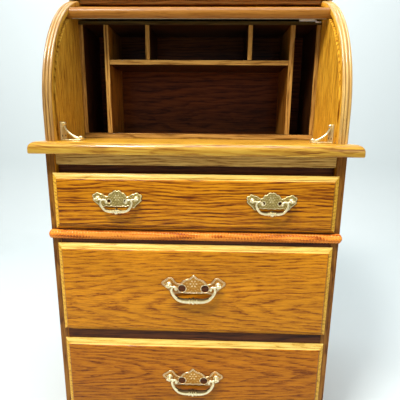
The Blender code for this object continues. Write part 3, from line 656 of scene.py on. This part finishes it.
def build_upper_sides():
    for side, sign in (("left", -1), ("right", 1)):
        low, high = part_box("upper_side_" + side)
        outline = upper_side_outline(low, high)
        columns = REED_COUNT * REED_STEPS
        rings = []
        for column in range(columns + 1):
            x = low.x + (high.x - low.x) * column / columns
            across = 2 * (column % REED_STEPS) / REED_STEPS - 1 if column < columns else 1
            dip = REED_DEPTH * (1 - math.sqrt(max(0.0, 1 - across * across)))
            rings.append([Vector((x, y + inward_y * dip, z + inward_z * dip))
                          for y, z, inward_y, inward_z in outline])
        # Painted light and shade: the right side, whose inner face the light from the left reaches, gets
        # lighter tones on its inner face and reeding than the left side.
        inner, reeding = (OLIVE, EDGE) if side == "left" else (HONEY, REED)
        material = wood("oak_upper_side_" + side, "ZYX", inner,
                        (0.80, ROLL_CENTRE.y - 0.06, low.x - sign * 0.05), 2.2)
        piece = make_piece("upper_side_panel_" + side, *loft(rings), material, 40)
        outer = wood("oak_outer_side_" + side, "ZYX", GOLDEN,
                     (0.30, ROLL_CENTRE.y, low.x + sign * 0.05), 2.8)
        paint(piece, bent_wood("oak_reeding_" + side, reeding),
              lambda face: low.x + 0.0002 < face.center.x < high.x - 0.0002)
        paint(piece, outer, lambda face: not face.material_index and face.normal.x * sign > 0.9)
        cut_track(piece, low, high, sign)
        fit(piece, "root", "oak", "upper_side_" + side)


def cut_track(piece, low, high, sign):
    """Groove for the tambour in the inner face, kept as part of the piece's own mesh."""
    inner = low.x if sign > 0 else high.x
    out, bottom = inner - sign * TRACK_CUTTER_OUT, inner + sign * TRACK_DEPTH
    near, far = TRACK_RADIUS - TRACK_HALF, TRACK_RADIUS + TRACK_HALF
    corners = ((out, near), (bottom, near), (bottom, far), (out, far))
    rings = [[polar(x, radius, angle) for x, radius in corners] for angle in sweep(*TRACK_TURN, 96)]
    cutter = make_piece("track_cutter", *loft(rings), piece.data.materials[0])
    cut = piece.modifiers.new("track", "BOOLEAN")
    cut.operation = "DIFFERENCE"
    cut.object = cutter
    depsgraph = bpy.context.evaluated_depsgraph_get()
    mesh = bpy.data.meshes.new_from_object(piece.evaluated_get(depsgraph))
    piece.modifiers.clear()
    piece.data = mesh
    bpy.data.objects.remove(cutter, do_unlink=True)
    mesh.set_sharp_from_angle(angle=math.radians(40))


# -------- tambour
def bar_rings(section, half, tongue, end, angle):
    """Rings along X of a bar with a thinner tongue at each end, turned about the roll's axis.

    The section holds (distance from the axis, sideways) pairs.
    """
    outward = Vector((0, -math.cos(angle), math.sin(angle)))
    sideways = Vector((0, math.sin(angle), math.cos(angle)))
    thin = [(min(out, tongue), side) for out, side in section]
    return [[ROLL_CENTRE + Vector((x, 0, 0)) + outward * out + sideways * side for out, side in outline]
            for x, outline in ((-end, thin), (-half, thin), (-half, section), (half, section),
                               (half, thin), (end, thin))]


def build_tambour():
    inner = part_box("upper_side_right")[0].x
    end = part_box("tambour_slat_01")[1].x
    back = TRACK_RADIUS - SLAT_HALF_THICK
    face = TRACK_RADIUS + SLAT_HALF_THICK
    crown_foot = face - SLAT_CROWN
    tongue = face - SLAT_SHOULDER
    width = back * math.tan(SLAT_PITCH / 2) - SLAT_GAP
    section = [(back, -width), (crown_foot, -width)]
    for angle in sweep(0, math.pi, 14)[1:-1]:
        section.append((crown_foot + SLAT_CROWN * math.sin(angle) ** 0.75, -width * math.cos(angle)))
    section += [(crown_foot, width), (back, width)]
    for index in range(1, SLAT_COUNT + 1):
        material = wood(f"oak_slat_{index:02d}", "XZY", GOLDEN if index % 3 else TAWNY,
                        (0.05 * index, 0.5, 0.3 - 0.03 * index), 0.5 + 0.1 * (index % 4))
        rings = bar_rings(section, inner - SLAT_END_GAP, tongue, end, OPEN_ANGLE + index * SLAT_PITCH)
        piece = make_piece(f"reeded_slat_{index:02d}", *loft(rings), material)
        fit(piece, "tambour", "oak", f"tambour_slat_{index:02d}")

    section = [(back, -width)]
    for angle in sweep(0, math.pi, 24)[1:-1]:
        section.append((back + BAR_DEPTH * math.sin(angle) ** 0.85, -width * math.cos(angle)))
    section.append((back, width))
    rings = bar_rings(section, inner - BAR_END_GAP, tongue, end, OPEN_ANGLE)
    material = wood("oak_lift_bar", "XZY", UMBER, (0, 0.9, 0.02), 0.4, figure=0.3)
    piece = make_piece("lift_bar_round", *loft(rings), material)
    fit(piece, "tambour", "oak", "lift_bar")
    keep_node("tambour_canvas", woven_canvas("canvas_weave"))


# -------- pigeonholes
def build_pigeonholes():
    # Painted shade: the unit's inner boards, floor and back and the top's front edge take very dark tones
    # for the shade inside the unit; the dividers' faces towards the middle take a lighter tone as painted
    # light.
    upright = wood("oak_uprights", "ZYX", SHADED, (0.8, 0.0, 0.10), 1.0)
    edge = wood("oak_unit_edges", "ZXY", EDGE, (0.8, 0.05, 0.20), 0.6)
    long_edge = wood("oak_unit_long_edges", "XZY", EDGE, (0.0, 0.80, 0.20), 0.6)
    top_edge = wood("oak_unit_top_edge", "XZY", DUSK, (0.0, 0.80, 0.20), 0.6)
    flat = wood("oak_unit_boards", "XYZ", SHADED, (0.0, 0.0, 0.70), 1.2)
    floor = wood("oak_unit_floor", "XYZ", DEEP, (0.05, 0.02, 0.66), 1.4)
    lit = wood("oak_divider_painted_light", "ZYX", UMBER, (0.8, 0.0, 0.10), 1.0)
    for name in ("end_left", "end_right", "divider_left", "divider_right",
                 "partition_left", "partition_right"):
        piece = board("pigeonhole_" + name, upright, "dark_oak", THIN_EASE, edge=edge)
        if name.startswith("divider"):
            towards_middle = 1 if name == "divider_left" else -1
            paint(piece, lit, lambda face: face.normal.x * towards_middle > 0.5)
    for name, material, front in (("shelf", flat, long_edge), ("top", flat, top_edge),
                                  ("floor", floor, long_edge)):
        board("pigeonhole_" + name, material, "dark_oak", THIN_EASE, edge=front)
    back = wood("oak_unit_back", "XZY", DEEP, (0.0, 0.80, 0.15), 1.6, 0.007)
    keep_node("pigeonhole_back", back)


def build_catch():
    """Small plated catch on the unit's top, near its right front corner."""
    low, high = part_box("pigeonhole_top")
    plated = plain_metal("plated_steel", (0.98, 0.97, 0.95), 0.35, 0.1)
    bolt_end = high.x - CATCH_INSET
    keeper_start = bolt_end + 0.0015
    front = low.y - 0.0012
    sizes = {"bolt": ((bolt_end - BOLT_LENGTH, low.y + 0.0005, high.z),
                      (bolt_end, low.y + 0.0085, high.z + 0.0045), 0.0006),
             "keeper": ((keeper_start, front, high.z - 0.0032),
                        (high.x - 0.0010, low.y - 0.0002, high.z - 0.0004), 0.0003),
             "riser": ((keeper_start, front, high.z - 0.0020),
                       (bolt_end + 0.0032, low.y + 0.0060, high.z + 0.0030), 0.0003)}
    for name, (start, stop, ease) in sizes.items():
        fit(block("catch_" + name, start, stop, plated, ease), "root", "brass")


# -------- braces
def barrel(name, half, radius, chamfer, centre, sides, brass):
    """A short turned piece along Y with chamfered ends."""
    flat, rim = half - chamfer, radius - chamfer - 0.0002
    profile = [(-half, 0.0), (-half, rim), (-flat, radius), (flat, radius), (half, rim), (half, 0.0)]
    return make_piece(name, *turned(profile, centre, sides), brass)


def build_brace(side, sign, brass):
    node = "corner_brace_" + side
    low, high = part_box(node)
    wall = high.x if sign > 0 else low.x
    inward = -sign
    reach = high.x - low.x
    height = high.z - low.z
    middle = (low.y + high.y) / 2

    wall_x = sorted((wall, wall + inward * BRACE_THICK))
    foot_x = sorted((wall + inward * 0.0005, wall + inward * (reach - 0.001)))
    upright = block("brace_" + side, (wall_x[0], low.y, low.z), (wall_x[1], high.y, high.z),
                    brass, BRACE_EASE)
    foot = block("brace_foot_" + side, (foot_x[0], low.y + 0.002, low.z),
                 (foot_x[1], high.y - 0.002, low.z + BRACE_THICK), brass, BRACE_EASE)

    start = Vector((BRACE_THICK, height * 0.93))
    bend = Vector((BRACE_THICK * 3, height * 0.28))
    stop = Vector((reach - 0.004, BRACE_THICK))
    route = []
    for t in sweep(0, 1, 20):
        spot = start * (1 - t) ** 2 + bend * (2 * t * (1 - t)) + stop * t ** 2
        route.append((wall + inward * spot.x, low.z + spot.y, STRUT_RADIUS + STRUT_TAPER * t * t))
    strut = make_piece("brace_strut_" + side, *tube(route, 12, middle), brass)

    knob_x = wall + inward * (reach - 0.0048)
    knob = barrel("brace_knob_" + side, 0.0052, 0.0042, 0.0010,
                  (knob_x, middle, low.z + 0.0045), 20, brass)
    eye = barrel("brace_eye_" + side, 0.0044, 0.0032, 0.0008,
                 (wall + inward * 0.0036, middle, high.z - 0.0036), 16, brass)
    fit_brass(upright, 0.8, "root", node)
    for piece in (foot, strut, knob, eye):
        fit_brass(piece, 0.8, "root")

    dark = plain_metal("screw_" + side, (0.10, 0.085, 0.06), 0.4)
    for index, y in enumerate((low.y + 0.006, high.y - 0.006)):
        rings = []
        for angle in sweep(0, math.pi / 2, 4):
            radius = SCREW_RADIUS * math.cos(angle) + 0.0001
            x = wall + inward * (BRACE_THICK + SCREW_RISE * math.sin(angle) - 0.0001)
            rings.append(circle((x, y, low.z + 0.009), radius, 16, 1, 2))
        screw = make_piece(f"brace_screw_{side}_{index + 1}", *loft(rings), dark)
        fit(screw, "root", "brass")


# -------- drawers
def front_profile(thick):
    """(inset, height above the back) pairs across the moulded edge of a front."""
    pairs = [(0.0, 0.0), (0.0, FRONT_LIP - FRONT_ARRIS), (0.0003, FRONT_LIP - 0.0004),
             (FRONT_ARRIS, FRONT_LIP)]
    for share in sweep(0, 1, 8)[1:]:
        crown = FRONT_CROWN * math.sin(math.pi * share)
        pairs.append((FRONT_ARRIS + (FRONT_BAND - FRONT_ARRIS) * share,
                      FRONT_LIP + (FRONT_RISE - FRONT_LIP) * share + crown))
    sunk = FRONT_RISE - FRONT_QUIRK
    pairs.append((FRONT_BAND + 0.0003, sunk))
    start = FRONT_BAND + 0.0008
    for angle in sweep(0, math.pi / 2, 8):
        pairs.append((start + FRONT_BEAD * (1 - math.cos(angle)),
                      sunk + (thick - sunk) * math.sin(angle)))
    return pairs


def build_drawer_front(name, tones, centre, tilt, ring, figure, wander):
    low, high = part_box(f"drawer_{name}_front")
    rings = []
    for inset, height in front_profile(high.y - low.y):
        left, right, foot, top = low.x + inset, high.x - inset, low.z + inset, high.z - inset
        rings.append([Vector((x, high.y - height, z))
                      for x, z in ((left, foot), (right, foot), (right, top), (left, top))])
    pith = (centre[0], (low.z + high.z) / 2 + centre[1], high.y + centre[2])
    # Painted highlight: the band's upward slope takes a pale cream tone and its ends a honey tone,
    # standing in for the light from above; the band's downward slope keeps the field's tone.
    field, band, ends = (
        wood(f"oak_{part}_{name}", "XZY", part_tones, pith, tilt, ring, part_figure, wander)
        for part, part_tones, part_figure in (("front", tones, figure), ("band", CREAM_HIGHLIGHT, 0.6),
                                              ("band_ends", HONEY, 0.6)))
    piece = make_piece(f"drawer_{name}_front_panel", *loft(rings), field, 24)
    limit = FRONT_BAND + FRONT_BEAD / 2
    paint(piece, band, lambda face: high.z - face.center.z < limit and face.normal.z > 0.1)
    paint(piece, ends, lambda face: not face.material_index and abs(face.normal.x) > 0.1
          and min(face.center.x - low.x, high.x - face.center.x) < limit)
    fit(piece, f"drawer_{name}", "oak", f"drawer_{name}_front")


def build_drawers():
    build_drawer_front("top", GOLDEN, (0.10, -0.16, 0.05), 1.0, 0.0070, 1.35, 6.0)
    build_drawer_front("middle", GOLDEN, (-0.05, -0.03, 0.045), 4.2, 0.0062, 0.78, 3.0)
    build_drawer_front("bottom", TAWNY, (0.12, 0.03, 0.045), -4.4, 0.0060, 0.80, 3.0)
    sides = wood("maple_drawer_sides", "YZX", PALE, (0, 0.1, 0.2), 1.0, 0.008,
                 figure=0.5, coat=0.15, roughness=0.5)
    bottoms = wood("ply_drawer_bottoms", "XYZ", PALE, (0, 0.1, 0.3), 1.5, 0.011,
                   figure=0.6, coat=0.0, roughness=0.6)
    for name in ("top", "middle", "bottom"):
        keep_node(f"drawer_{name}_box", sides, 0.0006)
        keep_node(f"drawer_{name}_bottom", bottoms)


# -------- pulls
# Half outlines of the plates in millimetres from the bail's axis, crest to foot
SMALL_EDGE = ((0, 15.6), (2.4, 16.7), (5.2, 16.0), (7.6, 15.0), (9.4, 12.6), (12.2, 12.0), (14.8, 10.6),
              (16.6, 8.2), (18.8, 5.2), (22, 5.0), (25.5, 6.8), (29, 9.4), (33.5, 10.2), (37, 12.0),
              (41, 12.2), (44.4, 9.4), (48.4, 7.8), (49.6, 4.0), (47.6, 0.2), (48.8, -3.2), (46.0, -6.4),
              (41.5, -10.5), (37.4, -14.0), (35.0, -18.2), (31.0, -19.6), (26.5, -17.6), (21.5, -16.0),
              (16.5, -17.3), (11.5, -16.3), (6, -17.7), (0, -16.8))
LARGE_EDGE = ((0, 22.4), (2.6, 20.8), (6, 17.2), (10, 14.6), (15, 13.2), (20, 10.8),
              (24.5, 7.2), (27.8, 3.2), (31.5, 3.2), (36, 5.2), (39.5, 9.6), (42.5, 14.0),
              (47, 16.6), (52, 16.2), (56.5, 13.4), (61, 9.8), (65.4, 7.2), (66.8, 3.0),
              (64.6, -1.0), (60, -4.8), (55, -9.0), (50, -14.0), (45, -18.6), (38, -20.6),
              (30, -19.2), (22, -18.4), (14, -19.8), (7, -18.8), (0, -19.6))
SMALL = {"edge": SMALL_EDGE, "post": 38.0, "hole": (16.4, -5.6, 3.4), "rims": (1.3,),
         "bar": ((0, -24.0, 3.5), (8, -24.0, 3.5), (15, -23.7, 3.3), (21.5, -21.8, 2.9),
                 (26.6, -17.4, 2.4), (29.8, -11.8, 2.1), (30.8, -6.6, 1.9), (29.6, -2.6, 1.8),
                 (26.2, -0.7, 1.8), (22.4, -1.3, 1.9), (19.6, -3.7, 2.2), (19.0, -6.2, 2.5)),
         "pin": ((29.0, -1.2, 1.7), (31.5, -0.3, 1.6), (34.0, 0, 1.45), (41.6, 0, 1.45)),
         "tip": 2.2, "beads": ((0, 5.2, 6.4), (6.9, 1.6, 5.0)), "flower": 1.0}
LARGE = {"edge": LARGE_EDGE, "post": 51.0, "hole": (24.0, -8.4, 7.8), "rims": (0.9, 3.1),
         "bar": ((0, -31.5, 5.5), (12, -31.5, 5.5), (22, -31.0, 5.1), (31, -28.0, 4.4),
                 (38, -22.2, 3.6), (43, -15.0, 3.0), (45, -8.4, 2.7), (43.6, -3.2, 2.5),
                 (40.0, -0.8, 2.4), (36.6, -2.4, 2.6), (35.6, -5.8, 3.1)),
         "pin": ((42.4, -1.6, 2.1), (44.4, -0.4, 2.0), (47.0, 0, 1.75), (55.2, 0, 1.75)),
         "tip": 2.7, "beads": ((0, 4.4, 7.6), (7.8, 3.0, 6.7)), "flower": 1.35}


def plate_loop(size):
    right = size["edge"]
    left = tuple((-x, z) for x, z in right[-2:0:-1])
    return curve_through(right + left, 6, closed=True)


def inside(loop, x, z):
    """Even-odd test of a point against a closed loop."""
    hit = False
    for (x0, z0), (x1, z1) in zip(loop, loop[1:] + loop[:1]):
        if (z0 > z) != (z1 > z) and x < (x1 - x0) * (z - z0) / (z1 - z0) + x0:
            hit = not hit
    return hit


def nearest(loop, x, z):
    """Distance to a closed loop and the closest point on it."""
    best = (1e9, x, z)
    for (x0, z0), (x1, z1) in zip(loop, loop[1:] + loop[:1]):
        dx, dz = x1 - x0, z1 - z0
        t = min(1.0, max(0.0, ((x - x0) * dx + (z - z0) * dz) / (dx * dx + dz * dz + 1e-12)))
        px, pz = x0 + t * dx, z0 + t * dz
        gap = math.hypot(x - px, z - pz)
        if gap < best[0]:
            best = (gap, px, pz)
    return best


def plate_height(size, x, z, gap, hole_gap):
    """Height of the cast plate in millimetres, and how bright its wear has left it."""
    rim = sum(math.exp(-((gap - place) / 0.55) ** 2) for place in size["rims"])
    rim += 0.8 * math.exp(-((hole_gap - 1.0) / 0.6) ** 2)
    scale = size["flower"]
    radius = math.hypot(x, z - 2.0 * scale) / scale
    angle = math.atan2(z - 2.0 * scale, x)
    petals = math.exp(-((radius - 4.6) / 2.2) ** 2) * (0.5 + 0.5 * math.cos(6 * angle))
    heart = math.exp(-(radius / 1.3) ** 2)
    leaves = 0.5 + 0.5 * math.sin(abs(x) / scale * 1.15 + z / scale * 0.9)
    leaves *= 0.5 + 0.5 * math.cos(z / scale * 1.25 - abs(x) / scale * 0.35)
    leaves *= min(1.0, max(0.0, (radius - 6.5) / 2))
    inner = min(1.0, max(0.0, (gap - size["rims"][-1] - 0.6) / 1.2))
    pattern = 0.7 * petals + 0.7 * heart + 0.5 * leaves
    relief = min(1.0, rim + inner * pattern)
    edge = min(1.0, gap / 0.7)
    return 0.75 + 0.45 * edge + 0.85 * relief, 0.3 * edge + 0.7 * relief


def build_plate(size):
    """Grid of points inside the outline, its rim pulled onto the outline exactly."""
    loop = plate_loop(size)
    hole_x, hole_z, hole_radius = size["hole"]
    step = 0.72
    reach_x = max(x for x, z in loop)
    low_z = min(z for x, z in loop)
    high_z = max(z for x, z in loop)
    columns = int(2 * reach_x / step) + 2
    rows = int((high_z - low_z) / step) + 2
    solid = []
    for row in range(rows):
        for column in range(columns):
            x = -reach_x + (column + 0.5) * step
            z = low_z + (row + 0.5) * step
            open_hole = math.hypot(abs(x) - hole_x, z - hole_z) < hole_radius
            if not open_hole and inside(loop, x, z):
                solid.append((column, row))
    corners = {}
    faces = []
    uses = {}                  # directed edges of the grid, in order
    for column, row in solid:
        keys = ((column, row), (column + 1, row), (column + 1, row + 1), (column, row + 1))
        for key in keys:
            corners.setdefault(key, len(corners))
        face = tuple(corners[key] for key in keys)
        faces.append(face)
        for first, second in zip(face, face[1:] + face[:1]):
            uses[(first, second)] = True
    rim_edges = [edge for edge in uses if (edge[1], edge[0]) not in uses]
    rim = {index for edge in rim_edges for index in edge}
    front, back, relief = [], [], []
    for (column, row), index in corners.items():
        x = -reach_x + column * step
        z = low_z + row * step
        gap, edge_x, edge_z = nearest(loop, x, z)
        hole_gap = math.hypot(abs(x) - hole_x, z - hole_z) - hole_radius
        if index in rim:
            if abs(hole_gap) < gap:
                push = hole_radius / math.hypot(abs(x) - hole_x, z - hole_z)
                x = math.copysign(hole_x + (abs(x) - hole_x) * push, x)
                z = hole_z + (z - hole_z) * push
                hole_gap = 0.0
            else:
                x, z, gap = edge_x, edge_z, 0.0
        height, wear_and_shade = plate_height(size, x, z, gap, hole_gap)
        front.append(Vector((x * MM, -height * MM, z * MM)))
        back.append(Vector((x * MM, 0.0, z * MM)))
        relief.append(wear_and_shade)
    count = len(front)
    faces += [tuple(count + index for index in reversed(face)) for face in list(faces)]
    faces += [(second, first, count + first, count + second) for first, second in rim_edges]
    return front + back, faces, relief + [0.0] * count


def in_metres(points):
    return [tuple(value * MM for value in point) for point in points]


def build_bail(size):
    """Bar with beads, side scrolls and the pins that turn in the posts."""
    bar = curve_through(in_metres(size["bar"]), 6)
    centre_z = bar[0][1]
    right = [point for point in bar if point[0] > 0.0135 or point[1] > centre_z + 0.0002]
    middle = []
    span = right[0][0]
    count = 44
    for index in range(count + 1):
        x = -span + 2 * span * index / count
        radius = size["bar"][0][2] * MM
        for place, half, bead in size["beads"]:
            for centre in (place * MM, -place * MM):
                share = 1 - ((x - centre) / (half * MM)) ** 2
                if share > 0:
                    radius = max(radius, bead * MM * math.sqrt(share))
        middle.append((x, centre_z, radius))
    route = [(-x, z, radius) for x, z, radius in reversed(right[1:])] + middle + right[1:]
    parts = [tube(route)]
    pin = curve_through(in_metres(size["pin"]), 5)
    for sign in (-1, 1):
        parts.append(tube([(sign * x, z, radius) for x, z, radius in pin], 12))
        tip_x, tip_z, tip_radius = (value * MM for value in size["bar"][-1])
        parts.append(ball((sign * tip_x, 0, tip_z), tip_radius * 1.12))
        end_x = size["pin"][-1][0] * MM
        parts.append(ball((sign * end_x, 0, 0), size["tip"] * MM * 0.92))
    return gather(parts)


def post_parts(size, plate_y, pivot):
    """Turned posts with an eye, from the plate out to the bail's axis."""
    parts = []
    reach = plate_y - pivot.y
    wide = size["tip"] / 2.2
    for sign in (-1, 1):
        x = pivot.x + sign * size["post"] * MM
        profile = [(0.0, 0.0), (0.0, 0.0052), (-0.0014, 0.0050), (-0.0026, 0.0036),
                   (-0.0036, 0.0026), (-reach * 0.46, 0.0023), (-reach + 0.0042, 0.0026),
                   (-reach + 0.0032, 0.0032), (-reach + 0.0014, 0.0036), (-reach, 0.0037),
                   (-reach - 0.0014, 0.0033), (-reach - 0.0028, 0.0021), (-reach - 0.0034, 0.0)]
        profile = [(y, radius * wide) for y, radius in profile]
        parts.append(turned(profile, (x, plate_y, pivot.z)))
    return gather(parts)


def hole_shade_parts(size, seat):
    """Dark discs of painted shade on the drawer front, seen through the plate's holes."""
    hole_x, hole_z, hole_radius = size["hole"]
    radius = (hole_radius + HOLE_SHADE_OVER) * MM
    return gather([turned([(0.0, radius), (-0.0002, radius)],
                          seat + Vector((sign * hole_x * MM, 0.00028, hole_z * MM)))
                   for sign in (-1, 1)])


def build_pulls():
    yellow = antique_brass("yellow_brass", YELLOW_CAST)
    orange = antique_brass("orange_brass", ORANGE_CAST)
    # dark oak tone for the painted shade seen through the plates' holes
    dark_disc_tone = wood("oak_painted_hole_shade", "XZY", DEEP)
    small = (SMALL, build_plate(SMALL), yellow)
    large = (LARGE, build_plate(LARGE), orange)
    for name, (size, plate, brass) in (("top_left", small), ("top_right", small),
                                       ("middle", large), ("bottom", large)):
        body = "drawer_" + name.split("_")[0]
        pivot = joint_place(f"bail_{name}_swing")
        plate_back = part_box("pull_plate_" + name)[1].y
        verts, faces, relief = plate
        seat = Vector((pivot.x, plate_back, pivot.z))
        piece = make_piece("pull_plate_cast_" + name, [vert + seat for vert in verts], faces, brass, 60)
        fit_brass(piece, relief, body, "pull_plate_" + name)
        # dark discs of painted shade behind the plate's holes
        disc_piece = make_piece("painted_shade_disc_" + name, *hole_shade_parts(size, seat), dark_disc_tone)
        fit(disc_piece, body, "dark_oak")
        verts, faces = post_parts(size, plate_back - POST_SINK, pivot)
        posts = make_piece("pull_posts_" + name, verts, faces, yellow, 60)
        fit_brass(posts, 0.75, body)
        verts, faces = build_bail(size)
        bail = make_piece("bail_cast_" + name, [vert + pivot for vert in verts], faces, yellow, 60)
        # Painted shade: upward-facing vertices on the bail's bar get a value below the pits, so they show
        # dark and stand in for the shadow between plate and bar; the rest of the bail shows even wear.
        wear_and_shade = [-0.2 if vertex.normal.z > 0.6 and vertex.co.z < pivot.z - 0.004 else 0.85
                for vertex in bail.data.vertices]
        fit_brass(bail, wear_and_shade, "bail_" + name, "bail_" + name)


# -------- scene
def add_camera():
    """The camera looks slightly down from in front, close to the desk."""
    camera = bpy.data.cameras.new("camera")
    camera.sensor_width = 36.0
    camera.lens = CAMERA_LENS
    camera.clip_start = 0.05
    holder = link_object("camera", camera)
    pitch, yaw, roll = (math.radians(angle) for angle in CAMERA_TURNS)
    forward = Vector((-math.sin(yaw) * math.cos(pitch), math.cos(yaw) * math.cos(pitch),
                      -math.sin(pitch)))
    level = Vector((math.cos(yaw), math.sin(yaw), 0))
    upward = level.cross(forward)
    across = level * math.cos(roll) + upward * math.sin(roll)
    upright = upward * math.cos(roll) - level * math.sin(roll)
    turn = Matrix((across, upright, -forward)).transposed().to_4x4()
    case_front = Vector((0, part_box("lower_side_left")[0].y, 0))
    holder.matrix_world = Matrix.Translation(case_front + Vector(CAMERA_PLACE)) @ turn
    bpy.context.scene.camera = holder


def add_light(name, place, target, size, power, colour=(1.0, 1.0, 1.0)):
    light = bpy.data.lights.new(name, "AREA")
    light.shape = "RECTANGLE"
    light.size, light.size_y = size
    light.energy = power
    light.color = colour
    holder = link_object(name, light)
    holder.location = place
    aim = Vector(target) - Vector(place)
    holder.rotation_euler = aim.to_track_quat("-Z", "Y").to_euler()


def add_studio():
    """Pale floor that curves up into a pale wall behind."""
    reach, back, bend = 4.0, 1.6, 0.5
    line = [(-3.5, 0.0), (back - bend, 0.0)]
    for angle in sweep(0, math.pi / 2, 12)[1:]:
        line.append((back - bend + bend * math.sin(angle), bend - bend * math.cos(angle)))
    line.append((back, 3.6))
    verts = [Vector((x, y, z)) for y, z in line for x in (-reach, reach)]
    faces = [(2 * row, 2 * row + 1, 2 * row + 3, 2 * row + 2) for row in range(len(line) - 1)]
    shade = Shade("studio_paper")
    shade.shader.inputs["Base Color"].default_value = (0.60, 0.66, 0.67, 1.0)
    shade.gloss(0.8)
    floor = make_piece("studio_floor", verts, faces, shade.material)

    world = bpy.data.worlds.new("studio")
    world.use_nodes = True
    sky = world.node_tree.nodes["Background"]
    sky.inputs["Color"].default_value = (0.90, 0.95, 1.0, 1.0)
    sky.inputs["Strength"].default_value = 0.26
    bpy.context.scene.world = world
    add_light("key", (-0.9, -1.45, 3.0), (0, -0.2, 0.6), (0.6, 0.6), 100, (1.0, 0.97, 0.92))
    add_light("overhead", (0.1, -0.7, 2.8), (0, -0.2, 0.7), (1.6, 0.9), 45)
    add_light("fill", (1.6, -1.7, 1.5), (0, 0, 0.7), (1.2, 1.2), 9)
    add_light("backdrop", (0.0, 0.6, 3.2), (0, 1.6, 1.0), (3.0, 0.6), 38)


bpy.context.scene.view_settings.view_transform = "Standard"
add_camera()
add_studio()
build_case()
build_rope_moulding()
build_surface_and_top()
build_upper_sides()
build_tambour()
build_pigeonholes()
build_catch()
BRIGHT_BRASS = antique_brass("brace_brass", YELLOW_CAST)
for brace_side, brace_sign in (("left", -1), ("right", 1)):
    build_brace(brace_side, brace_sign, BRIGHT_BRASS)
build_drawers()
build_pulls()
